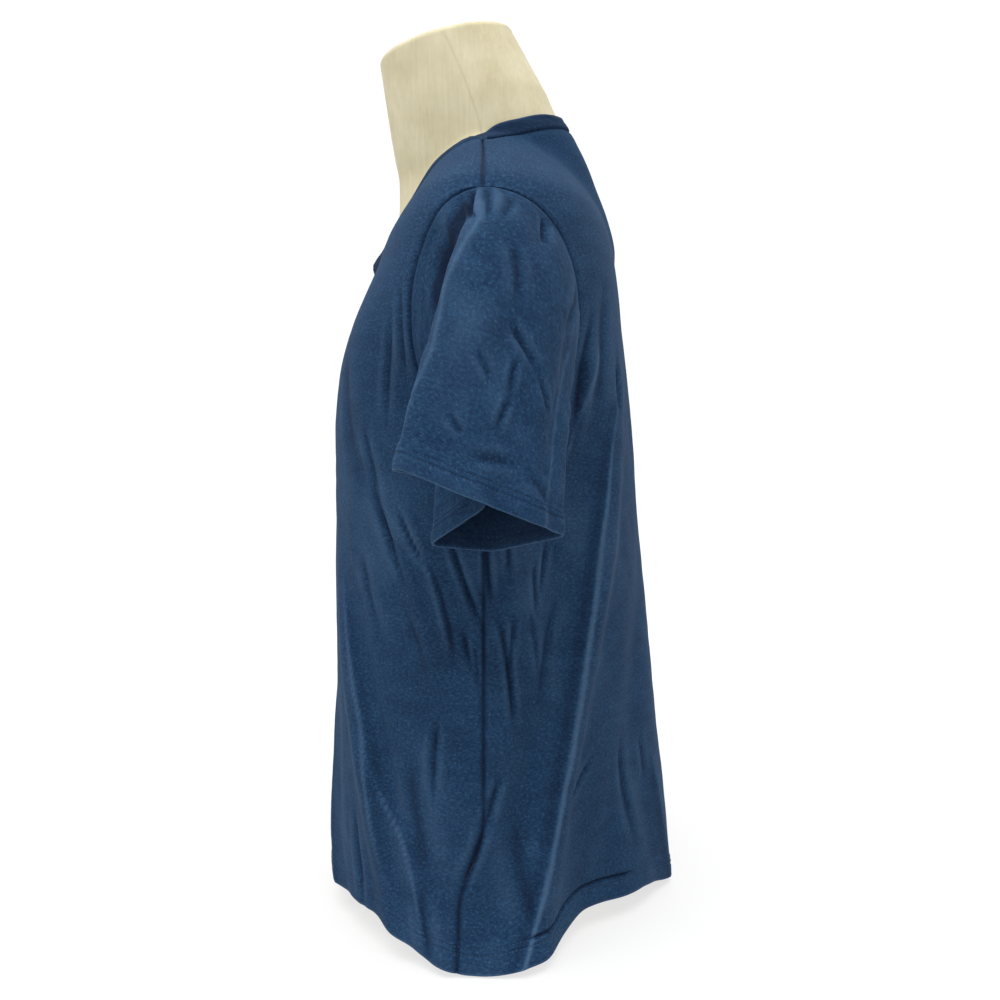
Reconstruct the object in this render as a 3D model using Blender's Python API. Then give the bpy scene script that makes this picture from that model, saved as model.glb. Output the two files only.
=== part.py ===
"""A v-neck t-shirt worn by a limbless dress form, at real size.

Metres, +Z up. The front faces -Y and the wearer's left is +X. The origin is on the floor, under the
middle of the whole. The body's rings are drawn in polar form round a spine that runs up through the
neck: angle 0 is the wearer's left side, -90 degrees the front, +90 degrees the back.

The shirt is cut as a maker cuts it: front, back, two sleeves and a neckband, each a thin wall of its
own with a hair's gap at each seam. The seam allowances are left out.
"""

import math
from collections import namedtuple

import bpy
import numpy as np

# Cloth
WALL = 0.0016  # jersey with its loft
BAND_WALL = 0.0022  # the neckband is folded double
REST_GAP = 0.0012  # cloth to form, where the shirt lies on it
BAND_GAP = 0.0017  # the neckband stands off a little more
BRIDGE = 0.0016  # and all of it more, where it bridges the hollow between shoulder and neck
BRIDGE_HEIGHT = 0.678
BRIDGE_SPREAD = 0.024
SLEEVE_GAP = 0.0030  # sleeve to form
SEAM_GAP = 0.0005  # between two pieces at a seam

# Heights that cut the body into its pieces
HEM_FLOOR_GAP = 0.002
UNDERARM = 0.425
V_POINT = 0.5700
SHOULDER_POINT = 0.6190  # where the shoulder seam meets the sleeve
NECK_POINT = 0.6800  # where the shoulder seam meets the neckband
BACK_NECK_RISE = 0.026  # how much higher the neckline is at the middle of the back

# Openings
V_BOW = 0.85  # 1 is a straight v, less bows its sides outwards
BAND_WIDTH = 0.0125
ARMHOLE_FRONT = math.radians(-17.5)  # how far the armhole reaches round to the front
ARMHOLE_BACK = math.radians(24.0)
ARMHOLE_ROUNDNESS = 2.0
SEAM_SWING = math.radians(-6.0)  # the side seam swings forward near the hem
SEAM_SWINGS_FROM = 0.125
SEAM_SWINGS_TO = 0.045

# The shirt lies on the form above the first height and hangs free below the second
LIES_ABOVE = 0.600
HANGS_BELOW = 0.480

# The form's sections: an ellipse for the torso and one for the neck, which starts inside it. front
# and back are Y.
Section = namedtuple("Section", "height half_width front back power")
TORSO = (
    Section(0.000, 0.112, -0.096, 0.070, 2.10),
    Section(0.012, 0.120, -0.103, 0.077, 2.10),
    Section(0.060, 0.140, -0.121, 0.092, 2.10),
    Section(0.120, 0.151, -0.131, 0.099, 2.10),
    Section(0.270, 0.141, -0.1330, 0.0840, 2.20),
    Section(0.350, 0.152, -0.1390, 0.0910, 2.30),
    Section(0.440, 0.172, -0.1420, 0.1010, 2.30),
    Section(0.500, 0.188, -0.1320, 0.1040, 2.25),
    Section(0.540, 0.200, -0.1195, 0.1045, 2.15),
    Section(0.570, 0.207, -0.1090, 0.1030, 2.05),
    Section(0.600, 0.208, -0.1000, 0.0980, 2.00),
    Section(0.6250, 0.1990, -0.0850, 0.0890, 1.95),
    Section(0.6400, 0.1740, -0.0750, 0.0800, 1.90),
    Section(0.6520, 0.1450, -0.0680, 0.0710, 1.90),
    Section(0.6650, 0.1140, -0.0600, 0.0600, 1.90),
    Section(0.6800, 0.0790, -0.0480, 0.0450, 1.95),
    Section(0.6970, 0.0500, -0.0400, 0.0250, 2.00),
    Section(0.7400, 0.0300, -0.0500, -0.0100, 2.00),
)
NECK = (
    Section(0.5500, 0.040, -0.090, 0.070, 2.00),
    Section(0.6000, 0.048, -0.0965, 0.0960, 2.00),
    Section(0.6300, 0.054, -0.0925, 0.0920, 2.00),
    Section(0.6600, 0.0575, -0.0930, 0.0825, 2.00),
    Section(0.6800, 0.0595, -0.0965, 0.0740, 2.00),
    Section(0.7000, 0.0600, -0.1000, 0.0640, 2.00),
    Section(0.7200, 0.0600, -0.1030, 0.0520, 2.00),
    Section(0.7400, 0.0590, -0.1060, 0.0430, 2.00),
)
MERGE = 12.0  # how sharply neck and torso meet
NECK_TOP = 0.7860  # the middle of the neck's top face
NECK_TOP_Y = -0.0505
NECK_TOP_HALF_WIDTH = 0.0560
NECK_TOP_HALF_DEPTH = 0.0625
NECK_TOP_TILT = math.radians(14.0)  # the face looks up and forward
NECK_TOP_DOME = 0.004
NECK_EDGE = 0.006  # the rounding of its edge

# The spine, about which the rings turn
Spine = namedtuple("Spine", "height y")
SPINE = (
    Spine(0.000, -0.0130),
    Spine(0.640, -0.0130),
    Spine(0.690, -0.0160),
    Spine(0.740, -0.0310),
)

# How the shirt hangs: its outer face's distance from the spine, in seven directions of each side
Hang = namedtuple("Hang", "height front front_quarter front_side side back_side back_quarter back")
DIRECTIONS = Hang(None, -90, -62, -35, 0, 35, 62, 90)
HANG = (
    Hang(0.000, 0.1470, 0.1495, 0.1690, 0.2050, 0.1460, 0.1570, 0.1750),
    Hang(0.060, 0.1465, 0.1520, 0.1690, 0.1970, 0.1500, 0.1590, 0.1725),
    Hang(0.160, 0.1385, 0.1495, 0.1675, 0.1870, 0.1560, 0.1590, 0.1620),
    Hang(0.260, 0.1370, 0.1490, 0.1660, 0.1810, 0.1620, 0.1550, 0.1515),
    Hang(0.340, 0.1355, 0.1490, 0.1665, 0.1800, 0.1660, 0.1500, 0.1430),
    Hang(0.430, 0.1340, 0.1490, 0.1690, 0.1820, 0.1690, 0.1450, 0.1330),
    Hang(0.480, 0.1285, 0.1455, 0.1710, 0.1890, 0.1700, 0.1405, 0.1255),
    Hang(0.520, 0.1180, 0.1375, 0.1700, 0.1990, 0.1705, 0.1375, 0.1215),
    Hang(0.560, 0.1040, 0.1260, 0.1660, 0.2110, 0.1710, 0.1350, 0.1220),
    Hang(0.600, 0.0980, 0.1200, 0.1600, 0.2150, 0.1620, 0.1290, 0.1210),
)
HEM_RISE = Hang(None, 0.026, 0.025, 0.021, 0.000, 0.023, 0.025, 0.010)
HEM_RISE_FADES = 0.12

# Long folds of the body. A ridge has a depth above 0 and a trough below. The angles are those of the
# wearer's left and are mirrored on the right. left_at_bottom is the share left at the fold's foot.
LEFT, RIGHT = 1, -1
Fold = namedtuple("Fold", "side top bottom angle_top angle_bottom width depth left_at_bottom")
FOLDS = (
    Fold(LEFT, 0.50, 0.000, 49, 13, 0.0120, 0.0070, 1.0),
    Fold(LEFT, 0.46, 0.000, 35, 2, 0.0200, -0.0050, 0.6),
    Fold(LEFT, 0.40, 0.000, 76, 40, 0.0260, -0.0050, 1.0),
    Fold(LEFT, 0.38, 0.000, -64, -22, 0.0130, 0.0060, 1.0),
    Fold(LEFT, 0.30, 0.000, -47, -13, 0.0130, -0.0040, 1.0),
    Fold(LEFT, 0.19, 0.000, -38, -10, 0.0120, 0.0045, 1.0),
    Fold(LEFT, 0.40, 0.180, -27, -8, 0.0090, 0.0040, 0.0),
    Fold(LEFT, 0.42, 0.200, 22, 8, 0.0140, -0.0040, 0.0),
    Fold(RIGHT, 0.47, 0.000, 52, 16, 0.0130, 0.0065, 1.0),
    Fold(RIGHT, 0.44, 0.000, 33, 4, 0.0220, -0.0045, 0.5),
    Fold(RIGHT, 0.38, 0.000, 74, 43, 0.0270, -0.0050, 1.0),
    Fold(RIGHT, 0.36, 0.000, -60, -26, 0.0140, 0.0060, 1.0),
    Fold(RIGHT, 0.33, 0.000, -44, -10, 0.0140, -0.0040, 1.0),
    Fold(RIGHT, 0.17, 0.000, -33, -6, 0.0120, 0.0040, 1.0),
    Fold(RIGHT, 0.39, 0.200, -24, -6, 0.0100, 0.0040, 0.0),
    Fold(RIGHT, 0.41, 0.170, 25, 12, 0.0150, -0.0040, 0.0),
)
FOLD_RADIUS = 0.160  # where a fold's width is measured

# The sleeve's lines from armhole to hem. turn is the line's place round the armhole: 0 at the
# underarm, 0.25 in front, 0.5 at the shoulder, 0.75 behind. x, y and z are its end on the hem. out
# and back are how hard it leaves the armhole sideways and backwards. The front tucks in at 0.27.
Line = namedtuple("Line", "turn x y z out back")
SLEEVE = (
    Line(0.00, 0.2130, -0.0060, 0.3440, 0.060, 0.000),
    Line(0.15, 0.2200, -0.0530, 0.3490, 0.070, 0.050),
    Line(0.27, 0.2440, -0.0040, 0.3840, 0.080, 0.100),
    Line(0.37, 0.2670, -0.0740, 0.4110, 0.130, 0.130),
    Line(0.50, 0.2950, -0.0180, 0.3900, 0.210, 0.000),
    Line(0.66, 0.2850, 0.0240, 0.3720, 0.170, 0.000),
    Line(0.80, 0.2620, 0.0460, 0.3610, 0.120, 0.000),
)
LEAVE = (0.90, 0.00, -0.35)  # the way the cloth leaves the armhole
FALL = (0.22, 0.00, -1.00)  # the way it runs down into its hem
SLEEVE_FALL = 0.16  # and how straight
SLEEVE_ROUNDING = 0.020  # share of the turn over which a line's corner is rounded

# Folds of the sleeves, as shares of the turn and of the way from armhole to hem
SleeveFold = namedtuple("SleeveFold", "turn_top turn_bottom top bottom width depth left_at_bottom")
SLEEVE_FOLDS = (
    SleeveFold(0.375, 0.340, 0.00, 0.62, 0.035, -0.0160, 0.0),
    SleeveFold(0.445, 0.385, 0.05, 1.00, 0.035, 0.0060, 1.0),
    SleeveFold(0.480, 0.480, 0.00, 0.30, 0.018, -0.0050, 0.0),
    SleeveFold(0.600, 0.590, 0.00, 0.30, 0.020, -0.0050, 0.0),
    SleeveFold(0.580, 0.500, 0.40, 0.75, 0.030, -0.0040, 0.0),
    SleeveFold(0.740, 0.700, 0.10, 0.90, 0.040, -0.0060, 0.0),
)

# Grids
PANEL_COLUMNS = 13  # from the side to the middle
HANG_ROWS = 13
ARMHOLE_ROWS = 13
SHOULDER_ROWS = 8
SLEEVE_ROWS = 10
FORM_COLUMNS = 44
FORM_CLOSER = 0.25  # how much closer the form's columns are at the sides
Stretch = namedtuple("Stretch", "low high rows")
FORM_STRETCHES = (
    Stretch(0.000, 0.012, 1),
    Stretch(0.012, 0.440, 9),
    Stretch(0.440, 0.600, 6),
    Stretch(0.600, 0.740, 18),
)
BAND_ROWS = 3
TIP = 0.0014  # how far the front's tip stops short of the neck point

# Colours, linear
CLOTH_COLOUR = (0.022, 0.050, 0.120, 1.0)
BAND_COLOUR = (0.016, 0.034, 0.082, 1.0)
FORM_COLOUR = (0.640, 0.560, 0.400, 1.0)
CLOTH_ROUGHNESS = 0.9
FORM_ROUGHNESS = 0.8

FRONT, BACK = math.radians(-90), math.radians(90)


def smooth(x, low, high):
    """0 below low, 1 above high, eased between."""
    share = np.clip((x - low) / (high - low), 0.0, 1.0)
    return share * share * (3.0 - 2.0 * share)


def through(knots, values, at):
    """The smooth curve through values at knots, with no overshoot, read at each of at.

    values holds one number for each knot, or one row of numbers, as long as at.
    """
    knots = np.asarray(knots, float)
    at = np.asarray(at, float)
    values = np.asarray(values, float)
    if values.ndim == 1:
        values = np.repeat(values[:, None], at.size, axis=1)
    steps = np.diff(knots)[:, None]
    rates = np.diff(values, axis=0) / steps
    slopes = np.zeros_like(values)
    before, after = rates[:-1], rates[1:]
    same_way = before * after > 0
    slopes[1:-1] = np.where(same_way, 2 * before * after / np.where(same_way, before + after, 1), 0)
    slopes[0], slopes[-1] = rates[0], rates[-1]
    i = np.clip(np.searchsorted(knots, at, side="right") - 1, 0, len(knots) - 2)
    j = np.arange(at.size)
    step = steps[i, 0]
    t = np.clip((at - knots[i]) / step, 0.0, 1.0)
    return (
        (1 + 2 * t) * (1 - t) ** 2 * values[i, j]
        + t * (1 - t) ** 2 * step * slopes[i, j]
        + t * t * (3 - 2 * t) * values[i + 1, j]
        + t * t * (t - 1) * step * slopes[i + 1, j]
    )


def column(table, name, height):
    return through([row.height for row in table], [getattr(row, name) for row in table], height)


def polar(radius, angle, height):
    """Points at that distance from the spine."""
    y = column(SPINE, "y", height) + radius * np.sin(angle)
    return np.stack([radius * np.cos(angle), y, height], axis=-1)


def section_radius(table, angle, height):
    spine = column(SPINE, "y", height)
    half_width = column(table, "half_width", height)
    to_front = spine - column(table, "front", height)
    to_back = column(table, "back", height) - spine
    depth = np.where(np.sin(angle) < 0, to_front, to_back)
    power = column(table, "power", height)
    sides = np.abs(np.cos(angle)) / half_width
    ends = np.abs(np.sin(angle)) / depth
    return (sides**power + ends**power) ** (-1.0 / power)


def form_radius(angle, height):
    """The further out of torso and neck, blended where they meet."""
    torso = section_radius(TORSO, angle, height)
    neck = section_radius(NECK, angle, height)
    blended = (torso**MERGE + neck**MERGE) ** (1.0 / MERGE)
    return torso + (blended - torso) * smooth(height, NECK[0].height, NECK[1].height)


def form_surface(angle, height):
    return polar(form_radius(angle, height), angle, height)


def slopes_of(surface, angle, height):
    """The surface's change for each radian and for each metre of height."""
    turn, rise = 2e-3, 4e-4
    across = (surface(angle + turn, height) - surface(angle - turn, height)) / (2 * turn)
    up = (surface(angle, height + rise) - surface(angle, height - rise)) / (2 * rise)
    return across, up


def unit(vectors):
    return vectors / np.linalg.norm(vectors, axis=-1, keepdims=True)


def normals(surface, angle, height):
    """Unit normals of a surface of angle and height, pointing away from the spine."""
    across, up = slopes_of(surface, angle, height)
    return unit(np.cross(across, up))


def by_direction(rows, mirrored):
    """Values given in the seven directions, read at angles of the left side.

    rows holds one entry for each direction, and those next to the middle are mirrored past it.
    """
    knots = [-180 - DIRECTIONS.front_quarter, *DIRECTIONS[1:], 180 - DIRECTIONS.back_quarter]
    return through(np.radians(knots), [rows[1], *rows, rows[-2]], mirrored)


def side_of(angle):
    """Which side each angle is on, and the same angle as measured on the left."""
    side = np.where(np.cos(angle) >= 0, LEFT, RIGHT)
    return side, np.arctan2(np.sin(angle), np.abs(np.cos(angle)))


def fold_height(angle, height):
    """How far the long folds stand out at each point."""
    side, mirrored = side_of(angle)
    total = np.zeros_like(height)
    for fold in FOLDS:
        down = np.clip((fold.top - height) / (fold.top - fold.bottom), 0.0, 1.0)
        middle = np.radians(fold.angle_top + (fold.angle_bottom - fold.angle_top) * down)
        across = (mirrored - middle) * FOLD_RADIUS / fold.width
        swell = smooth(down, 0.0, 0.45) * (1.0 - (1.0 - fold.left_at_bottom) * smooth(down, 0.55, 1.0))
        total += np.where(side == fold.side, fold.depth * swell * np.exp(-across * across), 0.0)
    return total


def hanging_surface(angle, height):
    """The shirt's outer face where it hangs free."""
    _, mirrored = side_of(angle)
    rows = [column(HANG, name, height) for name in Hang._fields[1:]]
    radius = by_direction(rows, mirrored) + fold_height(angle, height)
    least = form_radius(angle, height) + REST_GAP + WALL
    return polar(np.maximum(radius, least), angle, height)


def lying_surface(angle, height, gap=REST_GAP + WALL):
    """A face at that distance from the form, for the cloth that lies on it."""
    bridge = BRIDGE * np.exp(-(((height - BRIDGE_HEIGHT) / BRIDGE_SPREAD) ** 2))
    away = (gap + bridge)[..., None]
    return form_surface(angle, height) + away * normals(form_surface, angle, height)


def outer_surface(angle, height):
    share = smooth(height, HANGS_BELOW, LIES_ABOVE)[..., None]
    return (1 - share) * hanging_surface(angle, height) + share * lying_surface(angle, height)


def inner_surface(angle, height):
    return outer_surface(angle, height) - WALL * normals(outer_surface, angle, height)


def above_hem(angle, height):
    """Heights of the lowest rows, lifted to the hem's own line."""
    _, mirrored = side_of(angle)
    rise = by_direction([np.full_like(angle, part) for part in HEM_RISE[1:]], mirrored)
    return height + (HEM_FLOOR_GAP + rise) * (1.0 - smooth(height, 0.0, HEM_RISE_FADES))


def below_back_neck(angle, height):
    """Heights of the back's highest rows, lifted to the neckline."""
    return height + BACK_NECK_RISE * np.sin(angle) * smooth(height, SHOULDER_POINT, NECK_POINT)


def armhole_angle(height, reach):
    """The angle of the armhole's edge at each height: an egg, and 0 above and below it."""
    share = np.clip((height - UNDERARM) / (SHOULDER_POINT - UNDERARM), 0.0, 1.0)
    span = np.maximum(1.0 - np.abs(2.0 * share - 1.0) ** ARMHOLE_ROUNDNESS, 0.0)
    return reach * span ** (1.0 / ARMHOLE_ROUNDNESS)


def armhole_heights():
    """Heights of the rows beside the armhole, closer at its ends. One is the height of the v."""
    turns = np.linspace(0.0, math.pi, ARMHOLE_ROWS + 1)
    heights = UNDERARM + (SHOULDER_POINT - UNDERARM) * (1.0 - np.cos(turns)) / 2
    heights[np.argmin(np.abs(heights - V_POINT))] = V_POINT
    return heights


def body_heights():
    hanging = np.linspace(0.0, UNDERARM, HANG_ROWS + 1)[:-1]
    shoulder = np.linspace(SHOULDER_POINT, NECK_POINT, SHOULDER_ROWS + 1)[1:]
    return np.concatenate([hanging, armhole_heights(), shoulder])


def front_heights():
    heights = body_heights()
    heights[-1] -= TIP
    return heights


def angle_at(half_width, height, middle):
    """The angle between middle and the left side at which the lying shirt has that half width."""
    near, far = np.full_like(height, middle), np.zeros_like(height)
    for _ in range(40):
        half = (near + far) / 2
        inside = lying_surface(half, height)[..., 0] < half_width
        near, far = np.where(inside, half, near), np.where(inside, far, half)
    return (near + far) / 2


def v_angle(height):
    """The angle of the v's left side at each height, from the middle in front to the neck point."""
    share = np.clip((height - V_POINT) / (NECK_POINT - V_POINT), 0.0, 1.0)
    widest = lying_surface(np.zeros(1), np.array([NECK_POINT]))[0, 0]
    return angle_at(widest * share**V_BOW, height, FRONT)


def side_seam(height):
    """The side seam's angle: straight down, then swinging forward near the hem."""
    return SEAM_SWING * (1.0 - smooth(height, SEAM_SWINGS_TO, SEAM_SWINGS_FROM))


def edge_angle(height, reach):
    """The outer edge of a panel's left half: side seam, armhole and shoulder seam in one line."""
    heights = np.array([height])
    half_width = form_radius(np.zeros(1), heights)[0]
    seam = SEAM_GAP / 2 / half_width
    edge = math.copysign(max(abs(float(armhole_angle(heights, reach)[0])), seam), reach)
    return edge + float(side_seam(heights)[0])


def panel_angles(height, edge, middle):
    """One row of half a panel from its edge to the middle, closer at the edge on the shoulder."""
    share = np.linspace(0.0, 1.0, PANEL_COLUMNS + 1)
    closer = 1.0 + 0.45 * float(smooth(np.array(height), HANGS_BELOW, SHOULDER_POINT))
    return edge + (middle - edge) * share**closer


def material_of(name, colour, roughness):
    material = bpy.data.materials.new(name)
    material.use_nodes = True
    shader = material.node_tree.nodes["Principled BSDF"]
    shader.inputs["Base Color"].default_value = colour
    shader.inputs["Roughness"].default_value = roughness
    shader.inputs["Metallic"].default_value = 0.0
    material.diffuse_color = colour
    return material


def solid(name, points, faces, material):
    mesh = bpy.data.meshes.new(name)
    mesh.from_pydata([tuple(point) for point in points], [], faces)
    mesh.validate()
    mesh.shade_smooth()
    mesh.set_sharp_from_angle(angle=math.radians(50))
    mesh.materials.append(material)
    thing = bpy.data.objects.new(name, mesh)
    bpy.context.scene.collection.objects.link(thing)
    return thing


def wall(name, outer, inner, faces, material):
    """A closed wall between two layers of points. faces are those of the outer layer, facing out."""
    count = len(outer)
    edges = set()
    for face in faces:
        edges.update(zip(face, face[1:] + face[:1]))
    rim = [(b, a, a + count, b + count) for a, b in sorted(edges) if (b, a) not in edges]
    under = [tuple(count + corner for corner in reversed(face)) for face in faces]
    return solid(name, np.concatenate([outer, inner]), faces + under + rim, material)


def strips(lower, upper):
    """Faces between two rows of point numbers, each row running to the left as seen from outside."""
    return [
        (lower[i], lower[i + 1], upper[i + 1], upper[i])
        for i in range(len(lower) - 1)
    ]


def front_panel(material):
    """Rows run from the right side to the left. Above the v each row has a right and a left half."""
    angles, heights, faces = [], [], []
    below = None
    for height in front_heights():
        open_neck = height > V_POINT + 1e-6
        middle = float(v_angle(np.array([height]))[0]) if open_neck else FRONT
        left = panel_angles(height, edge_angle(height, ARMHOLE_FRONT), middle)[::-1]
        right = (2 * FRONT - left)[::-1]
        first = len(angles)
        row = list(right) + list(left if open_neck else left[1:])
        angles += row
        heights += [height] * len(row)
        right_row = list(range(first, first + len(right)))
        left_row = list(range(len(angles) - len(left), len(angles)))
        if below:
            faces += strips(below[0], right_row) + strips(below[1], left_row)
        below = (right_row, left_row)
    angles = np.array(angles)
    heights = above_hem(angles, np.array(heights))
    outer, inner = outer_surface(angles, heights), inner_surface(angles, heights)
    return wall("front", outer, inner, faces, material)


def back_panel(material):
    """Rows run from the left side to the right, and the highest rows follow the neckline."""
    rows = []
    for height in body_heights():
        left = panel_angles(height, edge_angle(height, ARMHOLE_BACK), BACK)
        rows.append(np.concatenate([left, (2 * BACK - left)[-2::-1]]))
    angles = np.concatenate(rows)
    heights = np.repeat(body_heights(), len(rows[0]))
    heights = below_back_neck(angles, above_hem(angles, heights))
    width = len(rows[0])
    faces = []
    for start in range(0, len(angles) - width, width):
        lower = list(range(start, start + width))
        faces += strips(lower, [number + width for number in lower])
    outer, inner = outer_surface(angles, heights), inner_surface(angles, heights)
    return wall("back", outer, inner, faces, material)


def neckline():
    """The neckline's angles and heights, once round: up the left of the v, round the back, down."""
    up = front_heights()
    up = up[up > V_POINT - 1e-6]
    left = v_angle(up)
    left[0] = FRONT
    behind = panel_angles(NECK_POINT, 0.0, BACK)
    behind = np.concatenate([behind, (2 * BACK - behind)[-2::-1]])
    lifted = below_back_neck(behind, np.full_like(behind, NECK_POINT))
    angle = np.concatenate([left, behind, (2 * BACK - left)[:0:-1]])
    return angle, np.concatenate([up, lifted, up[:0:-1]])


def stepped_across(angle, height, distance):
    """Each point of the neckline moved that far over the form's face, towards the opening."""
    across, up = slopes_of(lying_surface, angle, height)
    here = lying_surface(angle, height)
    along = unit(np.roll(here, -1, axis=0) - np.roll(here, 1, axis=0))
    outward = unit(np.cross(across, up))
    inward = np.cross(outward, along)
    step = inward * distance
    squares = np.stack(
        [np.sum(across * across, -1), np.sum(across * up, -1), np.sum(up * up, -1)]
    )
    right = np.stack([np.sum(across * step, -1), np.sum(up * step, -1)])
    size = squares[0] * squares[2] - squares[1] ** 2
    turn = (squares[2] * right[0] - squares[1] * right[1]) / size
    rise = (squares[0] * right[1] - squares[1] * right[0]) / size
    return angle + turn, height + rise


def neckband(material):
    angle, height = stepped_across(*neckline(), SEAM_GAP)
    rows = [(angle, height)]
    for _ in range(BAND_ROWS):
        rows.append(stepped_across(*rows[-1], BAND_WIDTH / BAND_ROWS))
    outer = np.concatenate([lying_surface(a, z, BAND_GAP + BAND_WALL) for a, z in rows])
    inner = np.concatenate([lying_surface(a, z, BAND_GAP) for a, z in rows])
    width = len(angle)
    faces = []
    for start in range(0, BAND_ROWS * width, width):
        lower = [start + k % width for k in range(width + 1)]
        faces += strips(lower, [number + width for number in lower])
    return wall("neckband", outer, inner, faces, material)


def armhole_ring():
    """The armhole's edge on the left, once round from the underarm by way of the front."""
    heights = armhole_heights()
    middle = (UNDERARM + SHOULDER_POINT) / 2
    inset = 1.0 - 2 * SEAM_GAP / (middle - UNDERARM)
    front = armhole_angle(heights, ARMHOLE_FRONT)
    back = armhole_angle(heights, ARMHOLE_BACK)
    angle = np.concatenate([front, back[-2:0:-1]])
    height = np.concatenate([heights, heights[-2:0:-1]])
    gap_angle = SEAM_GAP / form_radius(np.zeros_like(height), height)
    angle = np.sign(angle) * np.maximum(np.abs(angle) - gap_angle, 0.0)
    return angle, middle + (height - middle) * inset


def sleeve_line(name, turn):
    """A column of the sleeve's table, read round the turn, with its corners rounded."""
    turns = [line.turn for line in SLEEVE] + [1.0]
    values = [getattr(line, name) for line in SLEEVE] + [getattr(SLEEVE[0], name)]
    shifts = np.linspace(-SLEEVE_ROUNDING, SLEEVE_ROUNDING, 7)
    return np.mean([np.interp((turn + shift) % 1.0, turns, values) for shift in shifts], axis=0)


def sleeve_fold_height(turn, down):
    """How far the sleeve's folds stand out, for every turn at one share of the way down."""
    total = np.zeros_like(turn)
    for fold in SLEEVE_FOLDS:
        share = np.clip((down - fold.top) / (fold.bottom - fold.top), 0.0, 1.0)
        across = (turn - fold.turn_top - (fold.turn_bottom - fold.turn_top) * share) / fold.width
        swell = smooth(share, 0.0, 0.4) * (1.0 - (1.0 - fold.left_at_bottom) * smooth(share, 0.5, 1.0))
        total += fold.depth * swell * np.exp(-across * across)
    return total


def outward_of(rings):
    """Unit normals of rings that run down and round by way of the front."""
    around = np.roll(rings, -1, axis=1) - np.roll(rings, 1, axis=1)
    return unit(np.cross(np.gradient(rings, axis=0), around))


def clear_of_form(points, gap):
    """The points, with those nearer the form than gap moved out from its spine."""
    x, height = points[..., 0].ravel(), points[..., 2].ravel()
    y = points[..., 1].ravel() - column(SPINE, "y", height)
    radius, angle = np.hypot(x, y), np.arctan2(y, x)
    least = form_radius(angle, height) + gap
    return polar(np.maximum(radius, least), angle, height).reshape(points.shape)


def sleeve(name, side, material):
    """Each column runs from the armhole, leaves it sideways, and falls to its end on the hem."""
    angle, height = armhole_ring()
    start, start_inner = outer_surface(angle, height), inner_surface(angle, height)
    count = len(angle)
    turn = np.arange(count) / count
    end = np.stack([sleeve_line(part, turn) for part in ("x", "y", "z")], axis=-1)
    out = sleeve_line("out", turn)[:, None]
    back = sleeve_line("back", turn)[:, None]
    leave = out * np.array(LEAVE) + back * np.array([0.0, 1.0, 0.0])
    fall = SLEEVE_FALL * unit(np.array(FALL)) * np.ones((count, 1))
    down = np.linspace(0.0, 1.0, SLEEVE_ROWS + 1)
    outer = np.array([
        (1 + 2 * t) * (1 - t) ** 2 * start
        + t * (1 - t) ** 2 * leave
        + t * t * (3 - 2 * t) * end
        + t * t * (t - 1) * fall
        for t in down
    ])
    folds = np.array([sleeve_fold_height(turn, t) for t in down])
    outer = outer + folds[..., None] * outward_of(outer)
    outer[1:] = clear_of_form(outer[1:], SLEEVE_GAP + WALL)
    inner = outer - WALL * outward_of(outer)
    inner[0] = start_inner
    faces = []
    for first in range(0, SLEEVE_ROWS * count, count):
        upper = [first + k % count for k in range(count + 1)]
        faces += strips([number + count for number in upper], upper)
    outer, inner = outer.reshape(-1, 3), inner.reshape(-1, 3)
    if side == RIGHT:
        outer, inner = outer * (-1, 1, 1), inner * (-1, 1, 1)
        faces = [tuple(reversed(face)) for face in faces]
    return wall(name, outer, inner, faces, material)


def neck_top_ring(angle, inset, sink):
    """A ring of the neck's tilted top face, moved in from its edge and down."""
    x = (NECK_TOP_HALF_WIDTH - inset) * np.cos(angle)
    across = (NECK_TOP_HALF_DEPTH - inset) * np.sin(angle)
    lean = across * math.sin(NECK_TOP_TILT) - sink * math.cos(NECK_TOP_TILT)
    y = NECK_TOP_Y + across * math.cos(NECK_TOP_TILT) + sink * math.sin(NECK_TOP_TILT)
    return np.stack([x, y, NECK_TOP + lean], axis=-1)


def dress_form(material):
    """Torso and neck in one, cut flat at the hips."""
    angle = np.linspace(0.0, 2 * math.pi, FORM_COLUMNS + 1)[:-1]
    angle -= FORM_CLOSER * np.sin(2 * angle)
    heights = [0.0]
    for low, high, rows in FORM_STRETCHES:
        heights += list(np.linspace(low, high, rows + 1)[1:])
    rings = [form_surface(angle, np.full_like(angle, height)) for height in heights]
    shaft, edge = rings[-1], neck_top_ring(angle, 0.0, NECK_EDGE)
    rings.append((shaft + edge) / 2)
    rings.append(edge)
    for bend in np.radians([30, 60, 90]):
        inset = NECK_EDGE * (1 - math.cos(bend))
        rings.append(neck_top_ring(angle, inset, NECK_EDGE * (1 - math.sin(bend))))
    for share in (0.5, 0.8):
        rings.append(neck_top_ring(angle, NECK_TOP_HALF_WIDTH * share, -NECK_TOP_DOME * share))
    points = np.concatenate(rings)
    faces = []
    for first in range(0, len(points) - FORM_COLUMNS, FORM_COLUMNS):
        lower = [first + k % FORM_COLUMNS for k in range(FORM_COLUMNS + 1)]
        faces += strips(lower, [number + FORM_COLUMNS for number in lower])
    faces.append(tuple(range(FORM_COLUMNS))[::-1])
    faces.append(tuple(range(len(points) - FORM_COLUMNS, len(points))))
    return solid("dress_form", points, faces, material)


def main():
    for thing in list(bpy.data.objects):
        bpy.data.objects.remove(thing, do_unlink=True)
    jersey = material_of("jersey", CLOTH_COLOUR, CLOTH_ROUGHNESS)
    rib = material_of("band_jersey", BAND_COLOUR, CLOTH_ROUGHNESS)
    cover = material_of("form_cover", FORM_COLOUR, FORM_ROUGHNESS)
    front_panel(jersey)
    back_panel(jersey)
    neckband(rib)
    sleeve("sleeve_left", LEFT, jersey)
    sleeve("sleeve_right", RIGHT, jersey)
    dress_form(cover)


main()
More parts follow.
